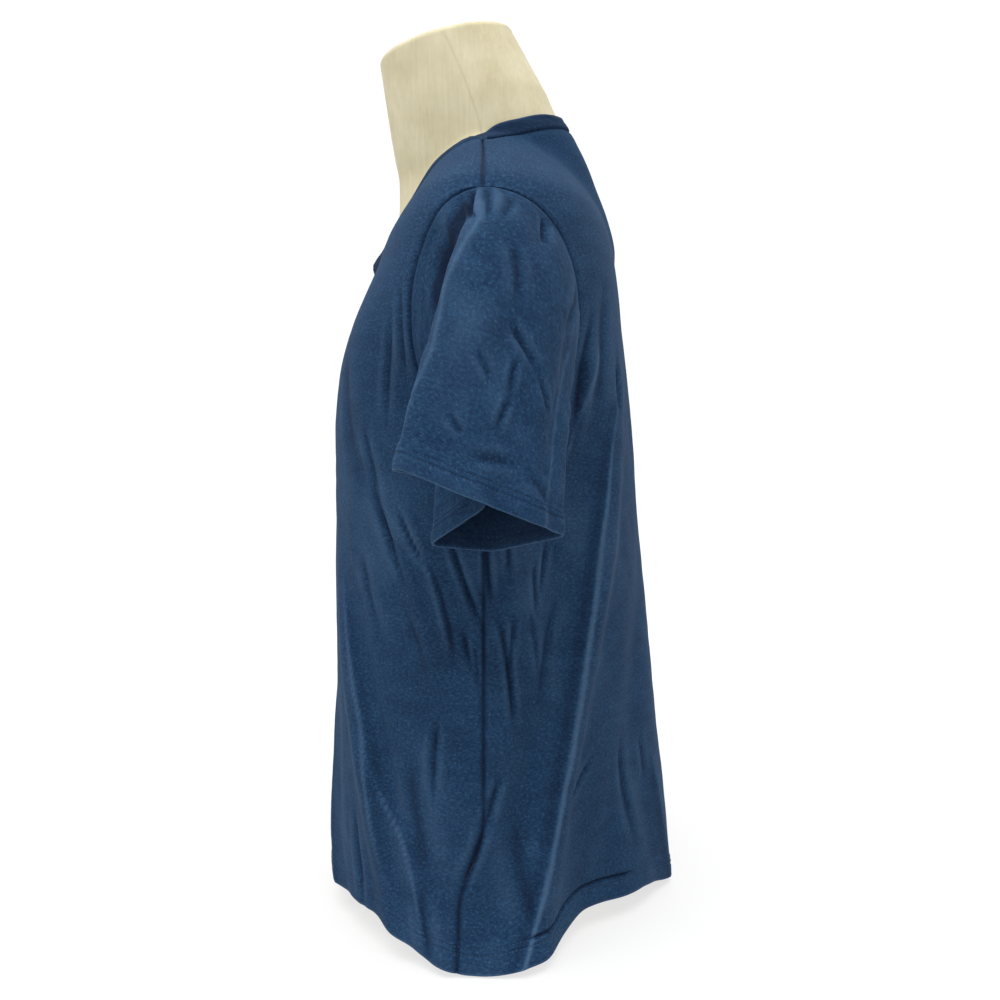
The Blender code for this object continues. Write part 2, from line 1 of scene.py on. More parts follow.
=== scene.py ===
"""The looks of a v-neck t-shirt worn by a limbless dress form.

Metres, +Z up. The front faces -Y and the wearer's left is +X. The shirt's pieces repeat the forms of
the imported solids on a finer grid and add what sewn, worn jersey has: creases, seams that sink in,
turned and stitched hems, and a heathered knit. Rings are drawn in polar form round a spine: angle 0
is the wearer's left side, -90 degrees the front, +90 degrees the back.
"""

import math
from collections import namedtuple

import bmesh
import bpy
import numpy as np
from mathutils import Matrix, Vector


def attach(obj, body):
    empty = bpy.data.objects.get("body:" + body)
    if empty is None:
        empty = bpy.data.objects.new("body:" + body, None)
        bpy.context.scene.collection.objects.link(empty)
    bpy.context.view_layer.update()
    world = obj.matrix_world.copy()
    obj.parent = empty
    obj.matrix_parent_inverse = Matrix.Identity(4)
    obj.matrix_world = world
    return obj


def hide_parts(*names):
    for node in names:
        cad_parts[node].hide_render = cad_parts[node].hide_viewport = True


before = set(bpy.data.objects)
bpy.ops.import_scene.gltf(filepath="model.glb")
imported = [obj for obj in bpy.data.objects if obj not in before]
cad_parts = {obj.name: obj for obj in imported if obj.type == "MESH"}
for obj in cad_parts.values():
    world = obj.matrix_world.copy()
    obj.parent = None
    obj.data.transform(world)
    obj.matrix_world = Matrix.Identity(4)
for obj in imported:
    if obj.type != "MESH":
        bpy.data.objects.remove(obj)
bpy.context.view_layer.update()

# Cloth
WALL = 0.0016  # jersey with its loft
BAND_WALL = 0.0022  # the neckband is folded double
REST_GAP = 0.0012  # cloth to form, where the shirt lies on it
BAND_GAP = 0.0017  # the neckband stands off a little more
BRIDGE = 0.0016  # and all of it more, where it bridges the hollow between shoulder and neck
BRIDGE_HEIGHT = 0.678
BRIDGE_SPREAD = 0.024
POUT = 0.0080  # how far the v's point pouts off the chest
POUT_HEIGHT = 0.583
POUT_UP = 0.0125
POUT_ACROSS = 0.022
SEAM_GAP = 0.0001  # between two pieces at a seam, closer than the solids so that no light comes through

# Heights that cut the body into its pieces
HEM_FLOOR_GAP = 0.002  # from the floor to the hem's lowest point
UNDERARM = 0.425
V_POINT = 0.5700
SHOULDER_POINT = 0.6190  # where the shoulder seam meets the sleeve
NECK_POINT = 0.6800  # where the shoulder seam meets the neckband
BACK_NECK_RISE = 0.026  # how much higher the neckline is at the middle of the back
LEVEL = 1e-6  # heights this close are the same
HALVINGS = 40  # of the angle in which an edge is looked for
TINY = 1e-9  # keeps a division from 0

# Openings
V_BOW = 0.85  # 1 is a straight v, less bows its sides outwards
BAND_WIDTH = 0.0125
ARMHOLE_FRONT = math.radians(-17.5)  # how far the armhole reaches round to the front
ARMHOLE_BACK = math.radians(24.0)
ARMHOLE_ROUNDNESS = 2.0
SEAM_SWING = math.radians(-6.0)  # the side seam swings forward near the hem
SEAM_SWINGS_FROM = 0.125
SEAM_SWINGS_TO = 0.045

# The shirt lies on the form above the first height and hangs free below the second
LIES_ABOVE = 0.600
HANGS_BELOW = 0.480

# The form's sections: an ellipse for the torso and one for the neck, which starts inside it. front
# and back are Y.
Section = namedtuple("Section", "height half_width front back power")
TORSO = (
    Section(0.000, 0.112, -0.096, 0.070, 2.10),
    Section(0.012, 0.120, -0.103, 0.077, 2.10),
    Section(0.060, 0.140, -0.121, 0.092, 2.10),
    Section(0.120, 0.151, -0.131, 0.099, 2.10),
    Section(0.270, 0.141, -0.1330, 0.0840, 2.20),
    Section(0.350, 0.152, -0.1390, 0.0910, 2.30),
    Section(0.440, 0.172, -0.1420, 0.1010, 2.30),
    Section(0.500, 0.188, -0.1320, 0.1040, 2.25),
    Section(0.540, 0.200, -0.1195, 0.1045, 2.15),
    Section(0.570, 0.207, -0.1090, 0.1030, 2.05),
    Section(0.600, 0.208, -0.1000, 0.0980, 2.00),
    Section(0.6250, 0.1990, -0.0850, 0.0890, 1.95),
    Section(0.6400, 0.1740, -0.0750, 0.0800, 1.90),
    Section(0.6520, 0.1450, -0.0680, 0.0710, 1.90),
    Section(0.6650, 0.1140, -0.0600, 0.0600, 1.90),
    Section(0.6800, 0.0790, -0.0480, 0.0450, 1.95),
    Section(0.6970, 0.0500, -0.0400, 0.0250, 2.00),
    Section(0.7400, 0.0300, -0.0500, -0.0100, 2.00),
)
NECK = (
    Section(0.5500, 0.040, -0.090, 0.070, 2.00),
    Section(0.6000, 0.048, -0.0965, 0.0960, 2.00),
    Section(0.6300, 0.054, -0.0925, 0.0920, 2.00),
    Section(0.6600, 0.0575, -0.0930, 0.0825, 2.00),
    Section(0.6800, 0.0595, -0.0965, 0.0740, 2.00),
    Section(0.7000, 0.0600, -0.1000, 0.0640, 2.00),
    Section(0.7200, 0.0600, -0.1030, 0.0520, 2.00),
    Section(0.7400, 0.0590, -0.1060, 0.0430, 2.00),
)
MERGE = 12.0  # how sharply neck and torso meet
NECK_TOP = 0.7860  # the middle of the neck's top face
NECK_TOP_Y = -0.0505
NECK_TOP_HALF_WIDTH = 0.0560
NECK_TOP_HALF_DEPTH = 0.0625
NECK_TOP_TILT = math.radians(14.0)  # the face looks up and forward
NECK_TOP_DOME = 0.004
NECK_EDGE = 0.006  # the rounding of its edge

# The spine, about which the rings turn
Spine = namedtuple("Spine", "height y")
SPINE = (
    Spine(0.000, -0.0130),
    Spine(0.640, -0.0130),
    Spine(0.690, -0.0160),
    Spine(0.740, -0.0310),
)

# How the shirt hangs: its outer face's distance from the spine, in seven directions of each side
Hang = namedtuple("Hang", "height front front_quarter front_side side back_side back_quarter back")
DIRECTIONS = Hang(None, -90, -62, -35, 0, 35, 62, 90)
HANG = (
    Hang(0.000, 0.1470, 0.1495, 0.1690, 0.2100, 0.1460, 0.1570, 0.1750),
    Hang(0.060, 0.1465, 0.1520, 0.1690, 0.1970, 0.1500, 0.1590, 0.1725),
    Hang(0.160, 0.1385, 0.1495, 0.1675, 0.1870, 0.1560, 0.1590, 0.1620),
    Hang(0.260, 0.1370, 0.1490, 0.1660, 0.1810, 0.1620, 0.1550, 0.1515),
    Hang(0.340, 0.1355, 0.1490, 0.1665, 0.1800, 0.1660, 0.1500, 0.1430),
    Hang(0.430, 0.1340, 0.1490, 0.1690, 0.1820, 0.1690, 0.1450, 0.1330),
    Hang(0.480, 0.1285, 0.1455, 0.1710, 0.1890, 0.1700, 0.1405, 0.1255),
    Hang(0.520, 0.1180, 0.1375, 0.1700, 0.1990, 0.1705, 0.1375, 0.1215),
    Hang(0.560, 0.1040, 0.1260, 0.1660, 0.2110, 0.1710, 0.1350, 0.1220),
    Hang(0.600, 0.0980, 0.1200, 0.1600, 0.2150, 0.1620, 0.1290, 0.1210),
)
# How much higher the hem is in each direction, and the height by which that is gone
HEM_RISE = Hang(None, 0.021, 0.021, 0.025, 0.000, 0.018, 0.017, 0.002)
HEM_RISE_FADES = 0.12

# Long folds of the body. A ridge has a depth above 0 and a trough below. The angles are those of the
# wearer's left and are mirrored on the right. left_at_bottom is the share left at the fold's foot.
LEFT, RIGHT = 1, -1
Fold = namedtuple("Fold", "side top bottom angle_top angle_bottom width depth left_at_bottom")
FOLDS = (
    Fold(LEFT, 0.50, 0.000, 49, 13, 0.0120, 0.0070, 1.0),
    Fold(LEFT, 0.46, 0.000, 35, 2, 0.0200, -0.0050, 0.6),
    Fold(LEFT, 0.40, 0.000, 76, 40, 0.0260, -0.0050, 1.0),
    Fold(LEFT, 0.38, 0.000, -64, -22, 0.0130, 0.0060, 1.0),
    Fold(LEFT, 0.30, 0.000, -47, -13, 0.0130, -0.0040, 1.0),
    Fold(LEFT, 0.19, 0.000, -38, -10, 0.0120, 0.0045, 1.0),
    Fold(LEFT, 0.40, 0.180, -27, -8, 0.0090, 0.0040, 0.0),
    Fold(LEFT, 0.42, 0.200, 22, 8, 0.0140, -0.0040, 0.0),
    Fold(RIGHT, 0.47, 0.000, 52, 16, 0.0130, 0.0065, 1.0),
    Fold(RIGHT, 0.44, 0.000, 33, 4, 0.0220, -0.0045, 0.5),
    Fold(RIGHT, 0.38, 0.000, 74, 43, 0.0270, -0.0050, 1.0),
    Fold(RIGHT, 0.36, 0.000, -60, -26, 0.0140, 0.0060, 1.0),
    Fold(RIGHT, 0.33, 0.000, -44, -10, 0.0140, -0.0040, 1.0),
    Fold(RIGHT, 0.17, 0.000, -33, -6, 0.0120, 0.0040, 1.0),
    Fold(RIGHT, 0.39, 0.200, -24, -6, 0.0100, 0.0040, 0.0),
    Fold(RIGHT, 0.41, 0.170, 25, 12, 0.0150, -0.0040, 0.0),
)
FOLD_RADIUS = 0.160  # where a fold's width is measured
FOLD_SWELLS = 0.45  # share of the way down by which a fold has swelled, and after which it fades
FOLD_FADES = 0.55

# The sleeve's lines from armhole to hem. turn is the line's place round the armhole: 0 at the
# underarm, 0.25 in front, 0.5 at the shoulder, 0.75 behind. x, y and z are its end on the hem. out
# and back are how hard it leaves the armhole sideways and backwards. The front tucks in at 0.27.
Line = namedtuple("Line", "turn x y z out back")
SLEEVE = (
    Line(0.00, 0.2130, -0.0060, 0.3440, 0.060, 0.000),
    Line(0.15, 0.2200, -0.0530, 0.3490, 0.070, 0.050),
    Line(0.27, 0.2440, -0.0040, 0.3840, 0.080, 0.100),
    Line(0.37, 0.2670, -0.0740, 0.4110, 0.130, 0.130),
    Line(0.50, 0.2950, -0.0180, 0.3900, 0.210, 0.000),
    Line(0.66, 0.2850, 0.0240, 0.3720, 0.170, 0.000),
    Line(0.80, 0.2620, 0.0460, 0.3610, 0.120, 0.000),
)
LEAVE = (0.90, 0.00, -0.35)  # the way the cloth leaves the armhole sideways
BACKWARDS = (0.00, 1.00, 0.00)  # and backwards
FALL = (0.22, 0.00, -1.00)  # the way it runs down into its hem
SLEEVE_FALL = 0.16  # and how straight
SLEEVE_ROUNDING = 0.020  # share of the turn over which a line's corner is rounded

# Folds of the sleeves, as shares of the turn and of the way from armhole to hem
SleeveFold = namedtuple("SleeveFold", "turn_top turn_bottom top bottom width depth left_at_bottom")
SLEEVE_FOLDS = (
    SleeveFold(0.375, 0.340, 0.00, 0.62, 0.035, -0.0160, 0.0),
    SleeveFold(0.445, 0.385, 0.05, 1.00, 0.035, 0.0060, 1.0),
    SleeveFold(0.480, 0.480, 0.00, 0.30, 0.018, -0.0050, 0.0),
    SleeveFold(0.600, 0.590, 0.00, 0.30, 0.020, -0.0050, 0.0),
    SleeveFold(0.580, 0.500, 0.40, 0.75, 0.030, -0.0040, 0.0),
    SleeveFold(0.740, 0.700, 0.10, 0.90, 0.040, -0.0060, 0.0),
)
SLEEVE_FOLD_SWELLS = 0.4
SLEEVE_FOLD_FADES = 0.5

TIP = 0.0014  # how far the front's tip stops short of the neck point
BAND_OVERLAP = 0.0015  # how far the band covers the panels' edges
BAND_WAVE = 0.0004  # how far the sewn band waves in and out, how often, and how unevenly
BAND_WAVE_LENGTH = 0.055
BAND_WAVE_DRIFT = 1.3
BAND_WAVE_DRIFT_RATE = 23.0
BAND_FLATNESS = 6  # how flat its face is between its rounded edges
BAND_EDGE = 0.35  # share of its thickness that is left at its edges
BAND_UNDER = 0.6  # share of its gap that is left under it
BAND_RUB = 0.6  # how much its fold is rubbed, and over what share of its width
BAND_RUB_SPREAD = 0.12

FRONT, BACK = math.radians(-90), math.radians(90)


def smooth(x, low, high):
    """0 below low, 1 above high, eased between."""
    share = np.clip((x - low) / (high - low), 0.0, 1.0)
    return share * share * (3.0 - 2.0 * share)


def bell(off, width):
    """1 at 0, falling away to both sides over about that width."""
    return np.exp(-((off / width) ** 2))


def curve_weights(t):
    """What a smooth curve takes of its start, its way out, its end and its way in, at a share t of it."""
    return (1 + 2 * t) * (1 - t) ** 2, t * (1 - t) ** 2, t * t * (3 - 2 * t), t * t * (t - 1)


def through(knots, values, at):
    """The smooth curve through values at knots, with no overshoot, read at each of at.

    values holds one number for each knot, or one row of numbers, as long as at.
    """
    knots = np.asarray(knots, float)
    at = np.asarray(at, float)
    values = np.asarray(values, float)
    if values.ndim == 1:
        values = np.repeat(values[:, None], at.size, axis=1)
    steps = np.diff(knots)[:, None]
    rates = np.diff(values, axis=0) / steps
    slopes = np.zeros_like(values)
    before, after = rates[:-1], rates[1:]
    same_way = before * after > 0
    slopes[1:-1] = np.where(same_way, 2 * before * after / np.where(same_way, before + after, 1), 0)
    slopes[0], slopes[-1] = rates[0], rates[-1]
    i = np.clip(np.searchsorted(knots, at, side="right") - 1, 0, len(knots) - 2)
    j = np.arange(at.size)
    step = steps[i, 0]
    start, leave, end, arrive = curve_weights(np.clip((at - knots[i]) / step, 0.0, 1.0))
    return (
        start * values[i, j]
        + leave * step * slopes[i, j]
        + end * values[i + 1, j]
        + arrive * step * slopes[i + 1, j]
    )


def column(table, name, height):
    """One column of a table, read at each height."""
    return through([row.height for row in table], [getattr(row, name) for row in table], height)


def polar(radius, angle, height):
    """Points at that distance from the spine."""
    y = column(SPINE, "y", height) + radius * np.sin(angle)
    return np.stack([radius * np.cos(angle), y, height], axis=-1)


def section_radius(table, angle, height):
    """The radius of a table's sections, each a rounded oval with its own front and back."""
    spine = column(SPINE, "y", height)
    half_width = column(table, "half_width", height)
    to_front = spine - column(table, "front", height)
    to_back = column(table, "back", height) - spine
    depth = np.where(np.sin(angle) < 0, to_front, to_back)
    power = column(table, "power", height)
    sides = np.abs(np.cos(angle)) / half_width
    ends = np.abs(np.sin(angle)) / depth
    return (sides**power + ends**power) ** (-1.0 / power)


def form_radius(angle, height):
    """The further out of torso and neck, blended where they meet."""
    torso = section_radius(TORSO, angle, height)
    neck = section_radius(NECK, angle, height)
    blended = (torso**MERGE + neck**MERGE) ** (1.0 / MERGE)
    return torso + (blended - torso) * smooth(height, NECK[0].height, NECK[1].height)


def form_surface(angle, height):
    """The dress form's face below its neck's top."""
    return polar(form_radius(angle, height), angle, height)


def slopes_of(surface, angle, height):
    """The surface's change for each radian and for each metre of height."""
    turn, rise = 2e-3, 4e-4
    across = (surface(angle + turn, height) - surface(angle - turn, height)) / (2 * turn)
    up = (surface(angle, height + rise) - surface(angle, height - rise)) / (2 * rise)
    return across, up


def unit(vectors):
    """The vectors at length 1."""
    return vectors / np.linalg.norm(vectors, axis=-1, keepdims=True)


def normals(surface, angle, height):
    """Unit normals of a surface of angle and height, pointing away from the spine."""
    across, up = slopes_of(surface, angle, height)
    return unit(np.cross(across, up))


def by_direction(rows, mirrored):
    """Values given in the seven directions, read at angles of the left side.

    rows holds one entry for each direction, and those next to the middle are mirrored past it.
    """
    knots = [-180 - DIRECTIONS.front_quarter, *DIRECTIONS[1:], 180 - DIRECTIONS.back_quarter]
    return through(np.radians(knots), [rows[1], *rows, rows[-2]], mirrored)


def side_of(angle):
    """Which side each angle is on, and the same angle as measured on the left."""
    side = np.where(np.cos(angle) >= 0, LEFT, RIGHT)
    return side, np.arctan2(np.sin(angle), np.abs(np.cos(angle)))


def fold_height(angle, height):
    """How far the long folds stand out at each point."""
    side, mirrored = side_of(angle)
    total = np.zeros_like(height)
    for fold in FOLDS:
        down = np.clip((fold.top - height) / (fold.top - fold.bottom), 0.0, 1.0)
        middle = np.radians(fold.angle_top + (fold.angle_bottom - fold.angle_top) * down)
        fades = (1.0 - fold.left_at_bottom) * smooth(down, FOLD_FADES, 1.0)
        swell = smooth(down, 0.0, FOLD_SWELLS) * (1.0 - fades)
        profile = bell((mirrored - middle) * FOLD_RADIUS, fold.width)
        total += np.where(side == fold.side, fold.depth * swell * profile, 0.0)
    return total


def hanging_surface(angle, height):
    """The shirt's outer face where it hangs free."""
    _, mirrored = side_of(angle)
    rows = [column(HANG, name, height) for name in Hang._fields[1:]]
    radius = by_direction(rows, mirrored) + fold_height(angle, height)
    least = form_radius(angle, height) + REST_GAP + WALL
    return polar(np.maximum(radius, least), angle, height)


def lying_surface(angle, height, gap=REST_GAP + WALL):
    """A face at that distance from the form, for the cloth that lies on it."""
    bridge = BRIDGE * bell(height - BRIDGE_HEIGHT, BRIDGE_SPREAD)
    up = (height - POUT_HEIGHT) / POUT_UP
    across = np.cos(angle) * FOLD_RADIUS / POUT_ACROSS
    pout = POUT * np.exp(-up * up - across * across) * (np.sin(angle) < 0)
    away = (gap + bridge + pout)[..., None]
    return form_surface(angle, height) + away * normals(form_surface, angle, height)


def outer_surface(angle, height):
    """The shirt's outer face, before its creases."""
    share = smooth(height, HANGS_BELOW, LIES_ABOVE)[..., None]
    return (1 - share) * hanging_surface(angle, height) + share * lying_surface(angle, height)


def above_hem(angle, height):
    """Heights of the lowest rows, lifted to the hem's own line."""
    _, mirrored = side_of(angle)
    rise = by_direction([np.full_like(angle, part) for part in HEM_RISE[1:]], mirrored)
    return height + (HEM_FLOOR_GAP + rise) * (1.0 - smooth(height, 0.0, HEM_RISE_FADES))


def below_back_neck(angle, height):
    """Heights of the back's highest rows, lifted to the neckline."""
    return height + BACK_NECK_RISE * np.sin(angle) * smooth(height, SHOULDER_POINT, NECK_POINT)


def armhole_angle(height, reach):
    """The angle of the armhole's edge at each height: an egg, and 0 above and below it."""
    share = np.clip((height - UNDERARM) / (SHOULDER_POINT - UNDERARM), 0.0, 1.0)
    span = np.maximum(1.0 - np.abs(2.0 * share - 1.0) ** ARMHOLE_ROUNDNESS, 0.0)
    return reach * span ** (1.0 / ARMHOLE_ROUNDNESS)


def angle_at(half_width, height, middle):
    """The angle between middle and the left side at which the lying shirt has that half width."""
    near, far = np.full_like(height, middle), np.zeros_like(height)
    for _ in range(HALVINGS):
        half = (near + far) / 2
        inside = lying_surface(half, height)[..., 0] < half_width
        near, far = np.where(inside, half, near), np.where(inside, far, half)
    return (near + far) / 2


def v_angle(height):
    """The angle of the v's left side at each height, from the middle in front to the neck point."""
    share = np.clip((height - V_POINT) / (NECK_POINT - V_POINT), 0.0, 1.0)
    widest = lying_surface(np.zeros(1), np.array([NECK_POINT]))[0, 0]
    return angle_at(widest * share**V_BOW, height, FRONT)


def side_seam(height):
    """The side seam's angle: straight down, then swinging forward near the hem."""
    return SEAM_SWING * (1.0 - smooth(height, SEAM_SWINGS_TO, SEAM_SWINGS_FROM))


def edge_angle(height, reach):
    """The outer edge of a panel's left half: side seam, armhole and shoulder seam in one line."""
    heights = np.array([height])
    half_width = form_radius(np.zeros(1), heights)[0]
    seam = SEAM_GAP / 2 / half_width
    edge = math.copysign(max(abs(float(armhole_angle(heights, reach)[0])), seam), reach)
    return edge + float(side_seam(heights)[0])


def panel_angles(edge, middle):
    """One row of half a panel from its edge to the middle, closer at the edge, where the creases are."""
    share = np.linspace(0.0, 1.0, PANEL_COLUMNS + 1)
    drawn_in = COLUMNS_EVEN * share + (1.0 - COLUMNS_EVEN) * share**COLUMNS_CLOSER
    return edge + (middle - edge) * drawn_in


# ---------------------------------------------------------------- creases and rumple

# Short creases of the body, as it hangs under the arm and down the side. The line runs from one point
# to the other, in degrees round the left side and metres of height. bow bends it sideways. A depth
# above 0 is a ridge. lip is the share of the depth that stands up the other way on both sides.
Crease = namedtuple("Crease", "angle_from from_height angle_to to_height bow width depth lip")
CREASES = (
    # front of the side, slanting down to the side seam
    Crease(-30.0, 0.372, -19.0, 0.300, 0.003, 0.0029, -0.0022, 0.55),
    Crease(-23.5, 0.372, -13.5, 0.322, 0.002, 0.0027, -0.0030, 0.50),
    Crease(-15.5, 0.335, -7.5, 0.240, -0.004, 0.0026, -0.0026, 0.60),
    Crease(-9.5, 0.358, 1.2, 0.268, 0.002, 0.0024, -0.0046, 0.50),
    Crease(-34.0, 0.400, -24.0, 0.330, 0.002, 0.0043, -0.0024, 0.40),
    Crease(-5.5, 0.276, -2.0, 0.236, 0.001, 0.0022, -0.0026, 0.55),
    Crease(-2.6, 0.268, -1.0, 0.226, 0.000, 0.0020, -0.0018, 0.50),
    Crease(-38.0, 0.330, -30.0, 0.262, 0.003, 0.0043, -0.0016, 0.45),
    Crease(-22.0, 0.290, -15.5, 0.236, -0.002, 0.0036, -0.0014, 0.45),
    # behind the side seam
    Crease(0.8, 0.352, 2.2, 0.292, 0.001, 0.0023, -0.0034, 0.50),
    Crease(3.4, 0.292, 7.8, 0.186, -0.003, 0.0024, -0.0034, 0.55),
    Crease(6.0, 0.352, 6.6, 0.318, 0.000, 0.0022, -0.0020, 0.50),
    Crease(8.2, 0.288, 7.2, 0.240, 0.001, 0.0022, -0.0022, 0.50),
    Crease(13.6, 0.332, 14.8, 0.286, 0.001, 0.0024, -0.0024, 0.50),
    Crease(18.0, 0.350, 15.6, 0.300, 0.001, 0.0027, -0.0024, 0.50),
    Crease(22.0, 0.300, 17.0, 0.200, 0.003, 0.0040, -0.0016, 0.45),
    Crease(12.0, 0.290, 16.0, 0.232, -0.002, 0.0026, -0.0016, 0.50),
    # low on the side and back
    Crease(-12.0, 0.205, -12.6, 0.134, 0.002, 0.0032, -0.0024, 0.50),
    Crease(4.2, 0.158, 0.6, 0.116, 0.001, 0.0029, -0.0030, 0.45),
    Crease(0.0, 0.120, -6.0, 0.070, -0.002, 0.0029, -0.0022, 0.50),
    Crease(23.0, 0.124, 37.0, 0.160, 0.002, 0.0032, -0.0020, 0.45),
    Crease(50.0, 0.168, 60.0, 0.060, 0.003, 0.0043, -0.0024, 0.45),
    Crease(62.0, 0.160, 66.0, 0.120, 0.001, 0.0036, -0.0018, 0.45),
    Crease(-20.0, 0.170, -13.0, 0.060, 0.003, 0.0075, -0.0018, 0.40),
    Crease(9.0, 0.120, 12.5, 0.030, 0.002, 0.0075, -0.0018, 0.40),
    Crease(-16.0, 0.060, -12.0, 0.006, 0.001, 0.0043, -0.0024, 0.50),
    Crease(-44.0, 0.110, -38.0, 0.020, 0.001, 0.0043, -0.0024, 0.50),
    # beside the armhole and on the shoulder blade
    Crease(-20.2, 0.556, -20.0, 0.470, 0.001, 0.0027, -0.0024, 0.50),
    Crease(-23.2, 0.530, -27.0, 0.436, 0.002, 0.0032, -0.0022, 0.45),
    Crease(-36.0, 0.440, -29.0, 0.376, 0.002, 0.0036, -0.0020, 0.45),
    Crease(-48.0, 0.500, -40.0, 0.400, 0.004, 0.0090, -0.0012, 0.40),
    Crease(31.0, 0.540, 25.0, 0.410, 0.004, 0.0043, -0.0030, 0.50),
    Crease(43.5, 0.492, 44.0, 0.448, 0.000, 0.0040, -0.0034, 0.35),
    Crease(38.0, 0.566, 33.0, 0.440, 0.004, 0.0070, -0.0020, 0.45),
)
# The far side has its own, alike but not the same
CREASE_SHIFT_ANGLE = 3.0
CREST_SHIFT = 2.5
CREASE_SHIFT_HEIGHT = 0.014
CREASE_SHIFT_DEPTH = 0.30
SLEEVE_SHIFT_TURN = 0.02
SLEEVE_SHIFT_DOWN = 0.05
FAR_SIDE_SEED = 11

# Creases of the sleeves: turn is the share of the way round and down the share from armhole to hem
SleeveCrease = namedtuple("SleeveCrease", "turn_from down_from turn_to down_to bow width depth lip")
SLEEVE_CREASES = (
    # the deep fold behind the front of the armhole, and the small ones under the cap
    SleeveCrease(0.465, 0.030, 0.360, 0.430, 0.002, 0.0095, -0.0100, 0.20),
    SleeveCrease(0.482, 0.020, 0.462, 0.200, 0.000, 0.0030, -0.0040, 0.40),
    SleeveCrease(0.503, 0.010, 0.508, 0.220, 0.001, 0.0024, -0.0036, 0.50),
    SleeveCrease(0.540, 0.060, 0.528, 0.200, 0.001, 0.0024, -0.0018, 0.50),
    SleeveCrease(0.596, 0.050, 0.606, 0.180, 0.001, 0.0024, -0.0034, 0.50),
    SleeveCrease(0.700, 0.080, 0.690, 0.340, 0.002, 0.0040, -0.0022, 0.45),
    # across the middle and low on the sleeve
    SleeveCrease(0.545, 0.260, 0.565, 0.440, 0.002, 0.0036, -0.0022, 0.45),
    SleeveCrease(0.560, 0.480, 0.625, 0.560, -0.001, 0.0027, -0.0028, 0.55),
    SleeveCrease(0.625, 0.560, 0.680, 0.640, 0.000, 0.0026, -0.0020, 0.50),
    SleeveCrease(0.578, 0.560, 0.572, 0.660, -0.001, 0.0024, -0.0024, 0.50),
    SleeveCrease(0.572, 0.660, 0.548, 0.760, -0.001, 0.0026, -0.0022, 0.50),
    SleeveCrease(0.500, 0.580, 0.532, 0.640, 0.000, 0.0026, -0.0018, 0.50),
    SleeveCrease(0.455, 0.760, 0.478, 0.800, 0.000, 0.0024, -0.0018, 0.50),
    SleeveCrease(0.490, 0.860, 0.610, 0.830, 0.002, 0.0036, -0.0018, 0.45),
    SleeveCrease(0.630, 0.840, 0.720, 0.900, 0.002, 0.0043, -0.0014, 0.45),
)
# Long crests with a sharp back, as on a fold that has been pressed by hanging. at are (height, degrees)
# down the crest. The hollow lies on the side seam's side of it.
Crest = namedtuple("Crest", "rise sharp slope_in slope_out hollow hollow_at hollow_width at")
CRESTS = (
    Crest(0.0065, 0.0012, 0.0080, 0.0200, 0.0050, 0.030, 0.016,
          ((0.510, 48.5), (0.480, 45.8), (0.428, 39.2), (0.378, 36.3), (0.340, 34.2), (0.296, 32.3),
           (0.262, 30.3), (0.230, 28.4), (0.184, 25.5), (0.130, 21.2), (0.089, 17.8), (0.055, 14.5),
           (0.029, 11.5), (0.000, 8.0))),
    Crest(0.0045, 0.0012, 0.0070, 0.0120, 0.0025, 0.020, 0.010,
          ((0.330, -53.0), (0.272, -47.5), (0.218, -42.2), (0.188, -38.8), (0.144, -35.2), (0.102, -31.8),
           (0.072, -28.6), (0.044, -23.5))),
    Crest(0.0035, 0.0010, 0.0060, 0.0100, 0.0015, 0.016, 0.008,
          ((0.185, -37.5), (0.148, -33.4), (0.120, -27.2), (0.097, -21.4), (0.046, -16.0), (0.010, -14.0))),
    Crest(0.0030, 0.0008, 0.0045, 0.0110, 0.0020, 0.012, 0.006,
          ((0.385, -25.0), (0.346, -18.2), (0.316, -13.9), (0.274, -10.2), (0.240, -7.3))),
    Crest(0.0035, 0.0010, 0.0060, 0.0110, 0.0020, 0.018, 0.010,
          ((0.520, 35.0), (0.494, 31.8), (0.460, 28.0), (0.426, 23.5), (0.390, 20.0))),
    Crest(0.0040, 0.0012, 0.0080, 0.0160, 0.0030, 0.026, 0.014,
          ((0.150, 70.0), (0.100, 74.0), (0.050, 80.0), (0.000, 86.0))),
    Crest(0.0035, 0.0015, 0.0100, 0.0160, 0.0020, 0.028, 0.014,
          ((0.220, -76.0), (0.120, -72.0), (0.050, -66.0), (0.000, -60.0))),
)
CREST_FADES_ABOVE = 0.3  # share of a crest's length over which it fades, at its top and its foot
CREST_FADES_BELOW = 0.25
CREST_LINE = 0.0016  # half the width of the painted highlight along a crest, and its strength
CREST_HIGHLIGHT = 1.5
CREST_DARK = 0.60  # and of the shade beside it, on the hollow's side
CREST_DARK_AT = 4 * CREST_LINE
CREST_DARK_WIDTH = 3 * CREST_LINE
CREST_FULL = 0.0060  # the rise of a crest whose painted highlight and shade have these strengths

CREASE_PAST_END = 0.35  # share of its length that a crease may reach past its two ends
CREASE_SWELLS = 0.30  # share of its length by which it is at its deepest, and after which it fades
CREASE_FADES = 0.60
LIPS_AT = 1.9  # where a crease's lips stand, in its widths
LIP_HIGHLIGHT = 0.32  # how bright the painted highlight on the lips is, as a share of the crease's painted shade
SHADE_NARROWER = 0.5  # how much narrower the painted shade line in a crease is than the crease
FULL_SHADE_DEPTH = 0.0022  # the depth of crease whose painted shade line has a strength of 1
STRONGEST_PAINTED_SHADE = 1.3  # of any crease's painted shade line
SLEEVE_ROUND = 0.36  # metres once round, for the creases' widths and the knit
SLEEVE_DROP = 0.22  # metres from armhole to hem

# Rumple: shallow unevenness left by washing and folding. size is one bump in metres.
Rumple = namedtuple("Rumple", "size stretch height seed")
BODY_RUMPLES = (
    Rumple(0.050, 2.4, 0.0009, 21),
    Rumple(0.022, 2.0, 0.0006, 22),
    Rumple(0.010, 1.6, 0.00025, 23),
)
SLEEVE_RUMPLES = (
    Rumple(0.045, 1.2, 0.0014, 31),
    Rumple(0.020, 1.1, 0.0008, 32),
    Rumple(0.009, 1.0, 0.00032, 33),
)

